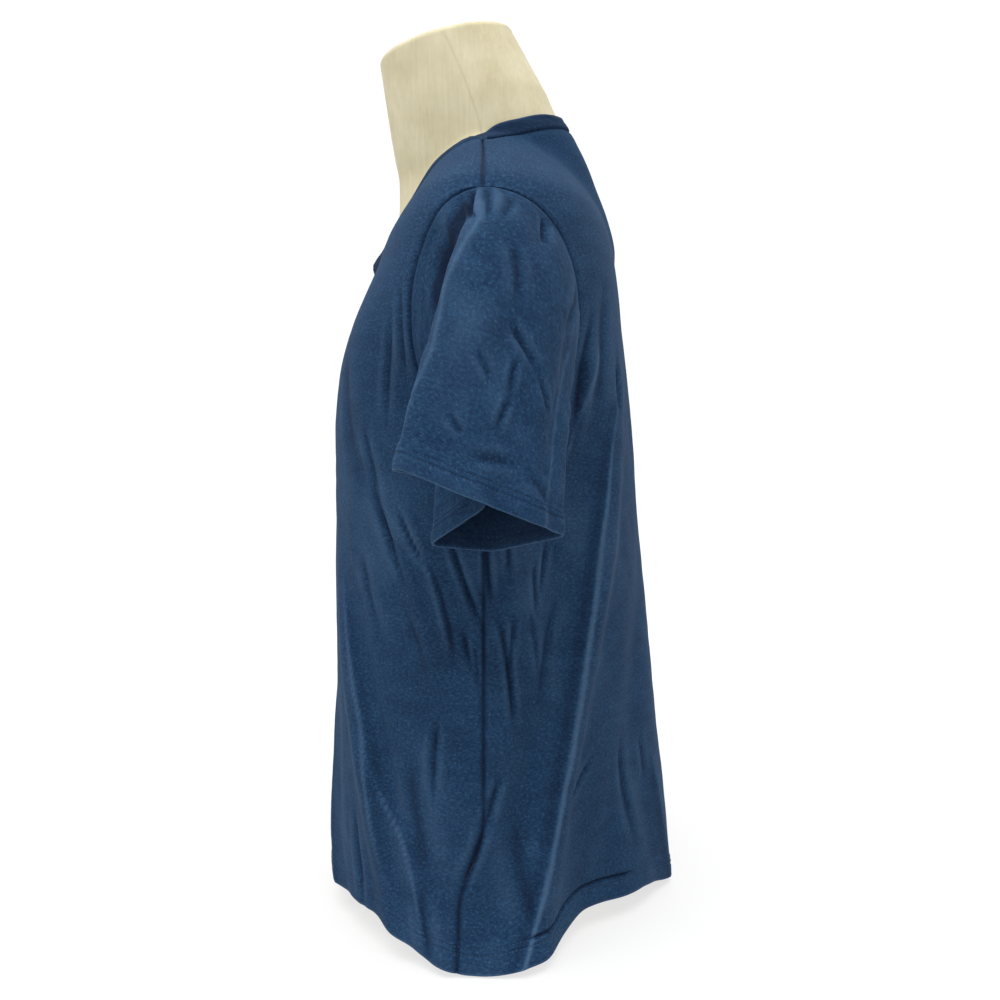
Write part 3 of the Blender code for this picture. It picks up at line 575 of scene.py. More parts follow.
RUMPLE_TURNED = (0.83, 0.56)  # how its creases lie across its hills, as a turn's cosine and sine
RUMPLE_HILLS = 0.6
RUMPLE_CREASES = 0.7
RUMPLE_LEVEL = 0.6  # what brings the creases' mean to about 0
CREASE_SEED_STEP = 7
RUMPLED_ROUND = math.radians(55)  # the body is most rumpled this far round its side
RUMPLED_HEIGHT = 0.33  # and below the arm
RUMPLED_SPREAD = 0.13
RUMPLED_ALL = 0.40  # share everywhere, and what the side and the place below the arm add
RUMPLED_SIDE = 0.55
RUMPLED_BELOW_ARM = 0.75
SMOOTHED = 0.85  # share of creases and rumple that goes where the shirt lies on the form
BODY_CUT_AT = 3.0  # where in the endless rumple each piece is cut
SLEEVE_CUT_AT = {LEFT: 5.0, RIGHT: 9.0}
SLEEVE_CLOSES = 0.08  # share of the turn over which the rumple fades, so that the ring closes
SLEEVE_RUMPLE_FROM = 0.12  # share down by which it is at its full height

# The sleeve's front and back edges: the strength of the painted highlight along each, and (share down,
# turn) down each
SleeveEdge = namedtuple("SleeveEdge", "strength at")
SLEEVE_EDGES = (
    SleeveEdge(0.80, ((0.09, 0.500), (0.20, 0.500), (0.30, 0.460), (0.40, 0.425), (0.60, 0.410),
                      (0.72, 0.380), (1.00, 0.372))),
    SleeveEdge(0.60, ((0.25, 0.740), (0.50, 0.730), (0.80, 0.715), (1.00, 0.700))),
)
EDGE_LINE = 0.0022  # half the width of the painted highlight along an edge
EDGE_BEGINS = 0.08  # share down over which an edge's painted highlight begins
# The painted shade at the bottom of the deep fold in front of the sleeve's front edge, as (turn, share
# down) along it
TUCK = ((0.285, 0.220), (0.327, 0.190), (0.355, 0.150), (0.395, 0.168), (0.444, 0.124), (0.475, 0.110))
TUCK_SHADE = 2.0  # how dark its painted shade is, over half its width, and the turns over which that comes and goes
TUCK_WIDTH = 0.0085
TUCK_BEGINS = (0.270, 0.320)
TUCK_ENDS = (0.455, 0.485)
RUMPLE_SHADING = 0.0055  # the height of rumple whose hills get as much painted highlight as a crest; its hollows get painted shade

# The painted light in the cloth's colour: the darkest painted shade and brightest painted highlight of
# creases, crests and rumple, and the painted shade at seams and in the groove above the hem
MOST_SHADED = 1.3
MOST_HIGHLIGHTED = 1.2
SEAM_DARK = 1.1
GROOVE_DARK = 1.4

# Sewing
SEAM_SINK = 0.0018  # how far a seam pulls the cloth in
SEAM_WIDTH = 0.0018
SEAM_LIP = 0.0005  # the seam allowance behind it lifts the cloth beside it
SEAM_LIP_AT = 0.0062
SEAM_LIP_WIDTH = 0.0036
SLEEVE_CAP_FROM = 0.005  # share down over which the sleeve rises from its seam
HEM_HEIGHT = 0.020
HEM_STEP = 0.0010  # the hem is two layers
HEM_STEP_OVER = (HEM_HEIGHT + 0.001, HEM_HEIGHT + 0.0045)  # where the second ends
HEM_EDGE_OVER = 0.0025  # how far up the turned edge is rounded, and the share of the step that goes
HEM_EDGE_SINK = 0.5
BODY_HEM_OVER = (0.04, 0.06)  # heights over which the body leaves its hem
SLEEVE_HEM_OVER = (0.7, 0.8)  # shares down over which the sleeve comes to its own
STITCH_PITCH = 0.0030
STITCH_LENGTH = 0.0022
STITCH_RADIUS = 0.00030
STITCH_ROWS_APART = 0.0050
STITCH_SINK = 0.0009
STITCH_SINK_WIDTH = 0.0013
STITCH_HEIGHTS = (HEM_HEIGHT, HEM_HEIGHT - STITCH_ROWS_APART)
EDGE_RUB = 0.0014  # how far up from a hem's edge the cloth is rubbed
SEAM_SHADE = 0.0018  # how far from a seam its shade reaches
HEM_GROOVE = 0.0032  # how deep the body tucks in over the hem, where the hem turns out
HEM_GROOVE_WIDTH = 0.0016
HEM_GROOVE_HEIGHT = HEM_HEIGHT + 0.001
HEM_GROOVE_FROM = math.radians(7)
HEM_GROOVE_TO = math.radians(60)
HEM_FLARE = 0.0040  # how far the hem turns out behind the side seam
HEM_FLARE_ENDS = HEM_HEIGHT + 0.002
HEM_FLARES_AT = math.radians(34)
HEM_FLARE_SPREAD = math.radians(24)


def crease_pattern(across, along, lines):
    """Creases at points of a flat sheet: their height in metres, and their painted light, which is painted
    shade below 0 where the cloth is folded in and painted highlight above 0 where it stands proud."""
    total, painted_light = np.zeros_like(across), np.zeros_like(across)
    for x0, y0, x1, y1, bow, width, depth, lip in lines:
        length = math.hypot(x1 - x0, y1 - y0)
        way_x, way_y = (x1 - x0) / length, (y1 - y0) / length
        share = ((across - x0) * way_x + (along - y0) * way_y) / length
        off = (across - x0) * way_y - (along - y0) * way_x
        off = off - bow * 4 * np.clip(share, 0, 1) * (1 - np.clip(share, 0, 1))
        past = min(CREASE_PAST_END, width / length)
        ends = smooth(share, -past, CREASE_SWELLS) * (1 - smooth(share, CREASE_FADES, 1 + past))
        lips = bell(off - LIPS_AT * width, width) + bell(off + LIPS_AT * width, width)
        total += depth * ends * (bell(off, width) - lip * lips)
        # painted shade along the crease's bottom, and painted highlight on its lips
        strength = math.copysign(min(abs(depth) / FULL_SHADE_DEPTH, STRONGEST_PAINTED_SHADE), depth)
        painted_light += strength * ends * (bell(off, SHADE_NARROWER * width) - LIP_HIGHLIGHT * lips)
    return total, painted_light


def crest_pattern(mirrored, height, shift):
    """The long crests of one side, their angles moved by shift: height, and painted light, which is a
    painted highlight along each crest and painted shade beside it.
    """
    total, painted_light = np.zeros_like(height), np.zeros_like(height)
    for crest in CRESTS:
        heights = [at[0] for at in crest.at][::-1]
        middle = np.radians(through(heights, [at[1] + shift for at in crest.at][::-1], height))
        off = (mirrored - middle) * FOLD_RADIUS
        inwards = off * np.sign(-middle)  # above 0 towards the side seam
        slope = np.where(inwards > 0, crest.slope_in, crest.slope_out)
        peak = np.exp(-(np.sqrt(off * off + crest.sharp**2) - crest.sharp) / slope)
        hollow = bell(inwards - crest.hollow_at, crest.hollow_width)
        low, high = heights[0], heights[-1]
        ends = 1.0 - smooth(height, high - CREST_FADES_ABOVE * (high - low), high)
        if low > 0:
            ends = ends * smooth(height, low, low + CREST_FADES_BELOW * (high - low))
        total += ends * (crest.rise * peak - crest.hollow * hollow)
        # a painted highlight along the crest, and painted shade beside it on the hollow's side
        line = CREST_HIGHLIGHT * bell(off, CREST_LINE)
        beside = CREST_DARK * bell(inwards - CREST_DARK_AT, CREST_DARK_WIDTH)
        painted_light += ends * (crest.rise / CREST_FULL) * (line - beside)
    return total, painted_light


def lattice_noise(x, y, seed):
    """Soft noise from -1 to 1, with one bump for each unit."""
    repeat = 64
    values = np.random.default_rng(seed).uniform(-1.0, 1.0, (repeat, repeat))
    column_at, row_at = np.floor(x).astype(int), np.floor(y).astype(int)
    tx, ty = x - column_at, y - row_at
    tx, ty = tx * tx * (3 - 2 * tx), ty * ty * (3 - 2 * ty)

    def value(i, j):
        return values[(column_at + i) % repeat, (row_at + j) % repeat]

    low = value(0, 0) * (1 - tx) + value(1, 0) * tx
    high = value(0, 1) * (1 - tx) + value(1, 1) * tx
    return low * (1 - ty) + high * ty


def rumpled(x, y, rumples):
    """Rumple with soft hills and narrower creases between them."""
    total = np.zeros_like(x)
    cosine, sine = RUMPLE_TURNED
    turned_x = cosine * x + sine * y
    turned_y = cosine * y - sine * x
    for rumple in rumples:
        tall = rumple.size * rumple.stretch
        hills = lattice_noise(x / rumple.size, y / tall, rumple.seed)
        between = lattice_noise(turned_x / rumple.size, turned_y / tall, rumple.seed + CREASE_SEED_STEP)
        creases = 2 * np.abs(between) - RUMPLE_LEVEL
        total += rumple.height * (RUMPLE_HILLS * hills + RUMPLE_CREASES * creases)
    return total


def body_lines(side):
    """The side's creases as lines on a flat sheet."""
    draw = np.random.default_rng(FAR_SIDE_SEED)
    lines = []
    for crease in CREASES:
        turn, rise, more = draw.uniform(-1.0, 1.0, 3)
        if side == LEFT:
            turn, rise, more = 0.0, 0.0, 0.0
        shift = turn * CREASE_SHIFT_ANGLE
        lift = rise * CREASE_SHIFT_HEIGHT
        lines.append((
            math.radians(crease.angle_from + shift) * FOLD_RADIUS,
            crease.from_height + lift,
            math.radians(crease.angle_to + shift) * FOLD_RADIUS,
            crease.to_height + lift,
            crease.bow,
            crease.width,
            crease.depth * (1.0 + more * CREASE_SHIFT_DEPTH),
            crease.lip,
        ))
    return lines


def body_detail(angle, height):
    """Creases and rumple of front and back, which share them along their seams: height, and painted
    light, which is painted shade in creases and rumple hollows and painted highlight on crests and hills.
    """
    side, mirrored = side_of(angle)
    creases, painted_light = np.zeros_like(height), np.zeros_like(height)
    for this_side, shift in ((LEFT, 0.0), (RIGHT, CREST_SHIFT)):
        short = crease_pattern(mirrored * FOLD_RADIUS, height, body_lines(this_side))
        long = crest_pattern(mirrored, height, shift)
        creases = np.where(side == this_side, short[0] + long[0], creases)
        painted_light = np.where(side == this_side, short[1] + long[1], painted_light)
    round_side = bell(mirrored, RUMPLED_ROUND)
    below_arm = bell(height - RUMPLED_HEIGHT, RUMPLED_SPREAD)
    loose = 1.0 - SMOOTHED * smooth(height, HANGS_BELOW, LIES_ABOVE)
    strength = RUMPLED_ALL + RUMPLED_SIDE * round_side + RUMPLED_BELOW_ARM * round_side * below_arm
    rumple = strength * loose * rumpled(angle * FOLD_RADIUS + BODY_CUT_AT, height, BODY_RUMPLES)
    return creases * loose + rumple, painted_light * loose + rumple / RUMPLE_SHADING


def seam_relief(distance):
    """How a seam pulls the cloth in, and its allowance lifts it, at a distance from the seam."""
    lip = SEAM_LIP * bell(distance - SEAM_LIP_AT, SEAM_LIP_WIDTH)
    return lip - SEAM_SINK * bell(distance, SEAM_WIDTH)


def hem_relief(distance):
    """The turned hem's second layer, and the two stitch rows that hold it, above the edge."""
    layer = HEM_STEP * (1.0 - smooth(distance, *HEM_STEP_OVER))
    edge = HEM_EDGE_SINK * HEM_STEP * (1.0 - smooth(distance, 0.0, HEM_EDGE_OVER))
    rows = sum(bell(distance - row, STITCH_SINK_WIDTH) for row in STITCH_HEIGHTS)
    return layer - edge - STITCH_SINK * rows


def hem_groove(mirrored, distance):
    """From 0 to 1: the groove along the top of the hem, where it turns out behind the side seam."""
    reach = smooth(mirrored, HEM_GROOVE_FROM, 2 * HEM_GROOVE_FROM)
    reach = reach * (1.0 - smooth(mirrored, HEM_GROOVE_TO - HEM_GROOVE_FROM, HEM_GROOVE_TO))
    return reach * bell(distance - HEM_GROOVE_HEIGHT, HEM_GROOVE_WIDTH)


# ---------------------------------------------------------------- pieces

PANEL_COLUMNS = 144  # from the side to the middle
COLUMNS_EVEN = 0.45  # share of their spacing that is even, and how the rest draws in to the side
COLUMNS_CLOSER = 2.2
HEM_ROWS = 28  # within HEM_FINE of the edge
HEM_FINE = 0.028
HANG_ROWS = 76
ARMHOLE_ROWS = 46
SHOULDER_ROWS = 16
SLEEVE_COLUMNS = 248
SLEEVE_ROWS = 140
SEAM_ROWS = 12  # of them, within SEAM_FINE of the armhole
SEAM_FINE = 0.012
SLEEVE_ENDS_AVERAGED = 15  # readings over which a corner of the sleeve's table is rounded
FORM_COLUMNS = 192
FORM_CLOSER = 0.25  # how much closer the form's columns stand at its sides, where its seams are
Stretch = namedtuple("Stretch", "low high rows")
FORM_ROWS = (
    Stretch(0.000, 0.012, 2),
    Stretch(0.012, 0.440, 22),
    Stretch(0.440, 0.600, 16),
    Stretch(0.600, 0.740, 64),
)
NECK_ROWS = 8  # from the last section to the neck's top face, round its edge, and over it
NECK_EDGE_ROWS = 8
NECK_TOP_ROWS = 9
BAND_ROWS = 12
FORM_SEAM = 0.0003  # how far the seams of the form's cover sink in
FORM_SEAM_WIDTH = 0.0011
CLEAR = 0.0004  # least gap from cloth to form
INSIDE_SHADE = 0.7  # painted shade that darkens the inside face
KNIT_ROUND = 0.17  # radius at which a body angle becomes a distance across the knit
KNIT_START = 1.0  # keeps the knit's distances above 0
COVER_ROUND = 0.06  # the same radius on the form
NO_EDGE = 1.0  # distance to an edge that a row doesn't have
DOUBLED = 2e-6  # points this close are one
SHARP_FROM = math.radians(60)


def even_steps(low, high, count):
    """Evenly spaced numbers after low, up to and with high."""
    return list(np.linspace(low, high, count + 1)[1:])


def beside_armhole(count):
    """Heights of that many rows beside the armhole, closer at its ends."""
    turns = np.linspace(0.0, math.pi, count + 1)
    return UNDERARM + (SHOULDER_POINT - UNDERARM) * (1.0 - np.cos(turns)) / 2


def body_heights():
    """Heights of the back's rows, and of the front's but for its tip. One is the height of the v."""
    low = [0.0] + even_steps(0.0, HEM_FINE, HEM_ROWS) + even_steps(HEM_FINE, UNDERARM, HANG_ROWS)
    heights = beside_armhole(ARMHOLE_ROWS)
    heights[np.argmin(np.abs(heights - V_POINT))] = V_POINT
    return np.concatenate([low[:-1], heights, even_steps(SHOULDER_POINT, NECK_POINT, SHOULDER_ROWS)])


def front_heights():
    """Heights of the front's rows, whose tip stops short of the neck point."""
    heights = body_heights()
    heights[-1] -= TIP
    return heights


def grid_quads(rows, columns):
    """Faces of a grid of points whose rows run to the right, as seen from outside, and upwards."""
    lower = np.arange(rows * columns).reshape(rows, columns)
    corners = [lower[:-1, :-1], lower[:-1, 1:], lower[1:, 1:], lower[1:, :-1]]
    return np.stack([corner.ravel() for corner in corners], axis=-1)


def row_ends(rows, width):
    """The first and the last point of each row of a grid."""
    firsts = range(0, rows * width, width)
    return [*firsts, *(first + width - 1 for first in firsts)]


def linked(name, data):
    """An object for the data, linked into the scene."""
    made = bpy.data.objects.new(name, data)
    bpy.context.scene.collection.objects.link(made)
    return made


def make_piece(name, points, quads, uv, marks_and_painted_light, material):
    """A mesh with its knit's UV map in metres and the attribute wear. Doubled points are joined."""
    mesh = bpy.data.meshes.new(name)
    mesh.from_pydata(points.tolist(), [], quads)
    corners = np.empty(len(mesh.loops), np.int32)
    mesh.loops.foreach_get("vertex_index", corners)
    mesh.uv_layers.new(name="knit").data.foreach_set("uv", uv[corners].astype(np.float32).ravel())
    mesh.attributes.new("marks_and_painted_light", "FLOAT", "POINT").data.foreach_set("value", marks_and_painted_light.astype(np.float32))
    joined = bmesh.new()
    joined.from_mesh(mesh)
    bmesh.ops.remove_doubles(joined, verts=joined.verts, dist=DOUBLED)
    joined.to_mesh(mesh)
    joined.free()
    mesh.shade_smooth()
    mesh.set_sharp_from_angle(angle=SHARP_FROM)
    mesh.materials.append(material)
    return linked(name, mesh)


def cloth_wall(name, outer, inner, quads, uv, marks_and_painted_light, material, open_columns=()):
    """A closed wall between two layers of points. Edges whose two ends are both in open_columns join up."""
    count = len(outer)
    joined = set(open_columns)
    faces = [tuple(quad) for quad in quads.tolist()]
    edges = set()
    for face in faces:
        edges.update(zip(face, face[1:] + face[:1]))
    rim = [
        (b, a, a + count, b + count)
        for a, b in edges
        if (b, a) not in edges and not (a in joined and b in joined)
    ]
    rim.sort()
    under = [tuple(count + corner for corner in reversed(face)) for face in faces]
    return make_piece(
        name,
        np.concatenate([outer, inner]),
        faces + under + rim,
        np.concatenate([uv, uv]),
        # the inside face gets painted shade
        np.concatenate([marks_and_painted_light, marks_and_painted_light - INSIDE_SHADE]),
        material,
    )


def clear_of_form(points, gap):
    """The points, with those nearer the form than gap moved out from its spine."""
    x, height = points[..., 0].ravel(), points[..., 2].ravel()
    y = points[..., 1].ravel() - column(SPINE, "y", height)
    radius, angle = np.hypot(x, y), np.arctan2(y, x)
    least = form_radius(angle, height) + gap
    moved = polar(np.maximum(radius, least), angle, height)
    on_spine = (height < SPINE[-1].height)[:, None]
    return np.where(on_spine, moved, points.reshape(-1, 3)).reshape(points.shape)


def panel(name, angles, heights, quads, edge_distance, neck_distance, material):
    """Front or back: the hanging and lying surface with its creases, seams and hem."""
    lifted = above_hem(angles, heights)
    if name == "back":
        lifted = below_back_neck(angles, lifted)
    out = normals(outer_surface, angles, lifted)
    folds, painted_light = body_detail(angles, lifted)
    _, mirrored = side_of(angles)
    groove = hem_groove(mirrored, heights)
    flare = bell(mirrored - HEM_FLARES_AT, HEM_FLARE_SPREAD)
    flare *= HEM_FLARE * (1.0 - smooth(heights, 0.0, HEM_FLARE_ENDS))
    relief = seam_relief(edge_distance) + seam_relief(neck_distance)
    hem = hem_relief(heights) * (1.0 - smooth(heights, *BODY_HEM_OVER))
    detail = folds + relief + hem + flare - HEM_GROOVE * groove
    base = outer_surface(angles, lifted)
    outer = clear_of_form(base + detail[:, None] * out, CLEAR + WALL)
    thick = WALL + np.maximum(hem, 0.0)
    inner = clear_of_form(outer - thick[:, None] * out, CLEAR)
    uv = np.stack([angles * KNIT_ROUND + KNIT_START, lifted], axis=-1)
    # painted shade and highlight of creases, crests and rumple, wear at the hem's edge, and painted shade
    # at the seams and in the hem's groove
    marks_and_painted_light = marks_and_painted_light_of(painted_light, heights, edge_distance) - GROOVE_DARK * groove
    piece = cloth_wall(name, outer, inner, quads, uv, marks_and_painted_light, material)
    return piece, [outer[np.isclose(heights, row)] for row in STITCH_HEIGHTS]


def marks_and_painted_light_of(painted_light, to_edge, to_seam):
    """Below 0 for painted shade in a fold and at a seam, and above 0 for a painted highlight on a crest,
    and for a hem's edge, where the cloth is rubbed pale."""
    worn = np.clip(painted_light, -MOST_SHADED, MOST_HIGHLIGHTED)
    return worn + bell(to_edge, EDGE_RUB) - SEAM_DARK * bell(to_seam, SEAM_SHADE)


def front_panel(material):
    """Rows run from the right side to the left. Above the v each row has a right and a left half."""
    heights = front_heights()
    angles, levels, edges, necks, quads = [], [], [], [], []
    below = None
    middles = np.where(heights > V_POINT + LEVEL, v_angle(heights), FRONT)
    for height, middle in zip(heights, middles):
        open_neck = height > V_POINT + LEVEL
        edge = edge_angle(height, ARMHOLE_FRONT)
        left = panel_angles(edge, middle)[::-1]
        right = (2 * FRONT - left)[::-1]
        first = len(angles)
        row = np.concatenate([right, left if open_neck else left[1:]])
        mirrored = np.where(row > FRONT, row, 2 * FRONT - row)
        angles += list(row)
        levels += [height] * len(row)
        edges += list(np.abs(edge - mirrored) * KNIT_ROUND)
        necks += list(np.abs(mirrored - middle) * KNIT_ROUND) if open_neck else [NO_EDGE] * len(row)
        right_row = np.arange(first, first + len(right))
        left_row = np.arange(len(angles) - len(left), len(angles))
        if below is not None:
            for low, high in ((below[0], right_row), (below[1], left_row)):
                quads.append(np.stack([low[:-1], low[1:], high[1:], high[:-1]], axis=-1))
        below = (right_row, left_row)
    angles, levels, edges, necks = (np.array(row) for row in (angles, levels, edges, necks))
    return panel("front", angles, levels, np.concatenate(quads), edges, necks, material)


def back_panel(material):
    """Rows run from the left side to the right, as seen from behind."""
    heights = body_heights()
    rows, edges = [], []
    for height in heights:
        edge = edge_angle(height, ARMHOLE_BACK)
        left = panel_angles(edge, BACK)
        rows.append(np.concatenate([left, (2 * BACK - left)[-2::-1]]))
        mirrored = np.where(rows[-1] < BACK, rows[-1], 2 * BACK - rows[-1])
        edges.append((mirrored - edge) * KNIT_ROUND)
    width = len(rows[0])
    levels = np.repeat(heights, width)
    to_neck = NECK_POINT - levels
    quads = grid_quads(len(heights), width)
    return panel("back", np.concatenate(rows), levels, quads, np.concatenate(edges), to_neck, material)


def half_neckline():
    """The neckline's left half, from the middle of the front to the middle of the back."""
    up = front_heights()
    up = up[up > V_POINT - LEVEL]
    angle = v_angle(up)
    angle[0] = FRONT
    behind = panel_angles(0.0, BACK)
    lifted = below_back_neck(behind, np.full_like(behind, NECK_POINT))
    return np.concatenate([angle, behind]), np.concatenate([up, lifted])


def stepped_across(angle, height, distance):
    """The half neckline moved that far over the form's face, towards the opening. Points stop at the
    middle of the front, where the two halves meet in a mitre."""
    across, up = slopes_of(lying_surface, angle, height)
    here = lying_surface(angle, height)
    along = unit(np.gradient(here, axis=0))
    along[0] = (1.0, 0.0, 0.0)
    along[-1] = (-1.0, 0.0, 0.0)
    outward = unit(np.cross(across, up))
    step = np.cross(outward, along) * distance
    aa, au, uu = (across * across).sum(-1), (across * up).sum(-1), (up * up).sum(-1)
    right_a, right_u = (across * step).sum(-1), (up * step).sum(-1)
    size = aa * uu - au * au
    turn = (uu * right_a - au * right_u) / size
    rise = (aa * right_u - au * right_a) / size
    room = np.clip((angle - FRONT) / np.maximum(-turn, TINY), 0.0, 1.0)
    room[0] = 1.0
    return angle + turn * room, height + rise * room


def neckband(material):
    """A doubled strip of jersey, sewn round the neckline over the panels' edges."""
    rows = [stepped_across(*half_neckline(), -BAND_OVERLAP)]
    for _ in range(BAND_ROWS):
        rows.append(stepped_across(*rows[-1], (BAND_WIDTH + BAND_OVERLAP) / BAND_ROWS))
    share = np.linspace(0.0, 1.0, BAND_ROWS + 1)
    plump = np.sqrt(np.clip(1.0 - (2.0 * share - 1.0) ** BAND_FLATNESS, 0.0, 1.0))
    thick = BAND_WALL * (BAND_EDGE + (1.0 - BAND_EDGE) * plump)
    outer, inner, uvs = [], [], []
    for (angle, height), wall, part in zip(rows, thick, share):
        both_angle = np.concatenate([angle, (2 * BACK - angle)[-2::-1]])
        both_height = np.concatenate([height, height[-2::-1]])
        here = lying_surface(both_angle, both_height)
        run = np.concatenate([[0.0], np.cumsum(np.linalg.norm(np.diff(here, axis=0), axis=1))])
        drift = BAND_WAVE_DRIFT * np.sin(run * BAND_WAVE_DRIFT_RATE)
        wave = BAND_WAVE * np.sin(run / BAND_WAVE_LENGTH * 2 * math.pi + drift) * part
        outer.append(lying_surface(both_angle, both_height, BAND_GAP + wall + wave))
        inner.append(lying_surface(both_angle, both_height, BAND_GAP * BAND_UNDER + wave))
        uvs.append(np.stack([run, np.full_like(run, part * BAND_WIDTH)], axis=-1))
    width = len(outer[0])
    quads, ends = grid_quads(BAND_ROWS + 1, width), row_ends(BAND_ROWS + 1, width)
    marks_and_painted_light = np.repeat(BAND_RUB * bell(1.0 - share, BAND_RUB_SPREAD), width)
    outer, inner, uv = np.concatenate(outer), np.concatenate(inner), np.concatenate(uvs)
    return cloth_wall("neckband", outer, inner, quads, uv, marks_and_painted_light, material, ends)


def armhole_ring():
    """The armhole's edge on the left, once round from the underarm by way of the front."""
    heights = beside_armhole(SLEEVE_COLUMNS // 2)
    before, behind = armhole_angle(heights, ARMHOLE_FRONT), armhole_angle(heights, ARMHOLE_BACK)
    angle = np.concatenate([before, behind[-2::-1]])
    height = np.concatenate([heights, heights[-2::-1]])
    gap_angle = SEAM_GAP / form_radius(np.zeros_like(height), height)
    middle = (UNDERARM + SHOULDER_POINT) / 2
    inset = 1.0 - 2 * SEAM_GAP / (middle - UNDERARM)
    return np.sign(angle) * np.maximum(np.abs(angle) - gap_angle, 0.0), middle + (height - middle) * inset


def sleeve_line(name, turn):
    """A column of the sleeve's table, read round the turn, with its corners rounded."""
    turns = [line.turn for line in SLEEVE] + [1.0]
    values = [getattr(line, name) for line in SLEEVE] + [getattr(SLEEVE[0], name)]
    shifts = np.linspace(-SLEEVE_ROUNDING, SLEEVE_ROUNDING, SLEEVE_ENDS_AVERAGED)
    return np.mean([np.interp((turn + shift) % 1.0, turns, values) for shift in shifts], axis=0)


def sleeve_fold_height(turn, down):
    """How far the sleeve's large folds stand out."""
    total = np.zeros_like(turn)
    for fold in SLEEVE_FOLDS:
        share = np.clip((down - fold.top) / (fold.bottom - fold.top), 0.0, 1.0)
        off = turn - fold.turn_top - (fold.turn_bottom - fold.turn_top) * share
        fades = (1.0 - fold.left_at_bottom) * smooth(share, SLEEVE_FOLD_FADES, 1.0)
        swell = smooth(share, 0.0, SLEEVE_FOLD_SWELLS) * (1.0 - fades)
        total += fold.depth * swell * bell(off, fold.width)
    return total


def sleeve_edge_painted_light(turn, down):
    """The sleeve folds at its front and back edges, with a painted highlight along both. The fold in
    front of the first is deep, with painted shade in it."""
    total = np.zeros_like(turn)
    for edge in SLEEVE_EDGES:
        middle = np.interp(down, [at[0] for at in edge.at], [at[1] for at in edge.at])
        ends = smooth(down, edge.at[0][0], edge.at[0][0] + EDGE_BEGINS)
        total += edge.strength * ends * bell((turn - middle) * SLEEVE_ROUND, EDGE_LINE)
    bottom = np.interp(turn, [at[0] for at in TUCK], [at[1] for at in TUCK])
    reach = smooth(turn, *TUCK_BEGINS) * (1.0 - smooth(turn, *TUCK_ENDS))
    return total - TUCK_SHADE * reach * bell((down - bottom) * SLEEVE_DROP, TUCK_WIDTH)


def outward_of(rings):
    """Unit normals of closed rings that run down and round by way of the front."""
    around = np.empty_like(rings)
    around[:, 1:-1] = rings[:, 2:] - rings[:, :-2]
    around[:, 0] = around[:, -1] = rings[:, 1] - rings[:, -2]
    return unit(np.cross(np.gradient(rings, axis=0), around))


def sleeve_grid():
    """The places of the sleeve's points, from the armhole down: shares of the turn and of the way down."""
    turn = np.linspace(0.0, 1.0, SLEEVE_COLUMNS + 1)
    run = [0.0] + even_steps(0.0, SEAM_FINE, SEAM_ROWS)
    run += even_steps(SEAM_FINE, SLEEVE_DROP - HEM_FINE, SLEEVE_ROWS - HEM_ROWS - SEAM_ROWS)
    run += even_steps(SLEEVE_DROP - HEM_FINE, SLEEVE_DROP, HEM_ROWS)
    down = np.array(run)[:, None] / SLEEVE_DROP * np.ones_like(turn)
    return turn * np.ones_like(down), down


def sleeve_form(turns, down):
    """The left sleeve's outer face with its large folds. Each column leaves the armhole sideways and
    falls to its end on the hem."""
    angle, height = armhole_ring()
    sunk = body_detail(angle, height)[0] - SEAM_SINK
    start = outer_surface(angle, height) + sunk[:, None] * normals(outer_surface, angle, height)
    end = np.stack([sleeve_line(part, turns[0]) for part in ("x", "y", "z")], axis=-1)
    out = sleeve_line("out", turns[0])[:, None]
    back = sleeve_line("back", turns[0])[:, None]
    leave = out * np.array(LEAVE) + back * np.array(BACKWARDS)
    fall = SLEEVE_FALL * unit(np.array(FALL))
    at_start, at_leave, at_end, at_fall = curve_weights(down[:, :, None])
    face = at_start * start + at_leave * leave + at_end * end + at_fall * fall
    return face + sleeve_fold_height(turns, down)[..., None] * outward_of(face)


def sleeve_lines(side):
    """The side's sleeve creases as lines on a flat sheet."""
    draw = np.random.default_rng(FAR_SIDE_SEED + 1)
    lines = []
    for crease in SLEEVE_CREASES:
        shift, drop, more = draw.uniform(-1.0, 1.0, 3) * (0.0 if side == LEFT else 1.0)
        lines.append((
            (crease.turn_from + SLEEVE_SHIFT_TURN * shift) * SLEEVE_ROUND,
            (crease.down_from + SLEEVE_SHIFT_DOWN * drop) * SLEEVE_DROP,
            (crease.turn_to + SLEEVE_SHIFT_TURN * shift) * SLEEVE_ROUND,
            (crease.down_to + SLEEVE_SHIFT_DOWN * drop) * SLEEVE_DROP,
            crease.bow,
            crease.width,
            crease.depth * (1.0 + CREASE_SHIFT_DEPTH * more),
            crease.lip,
        ))
    return lines


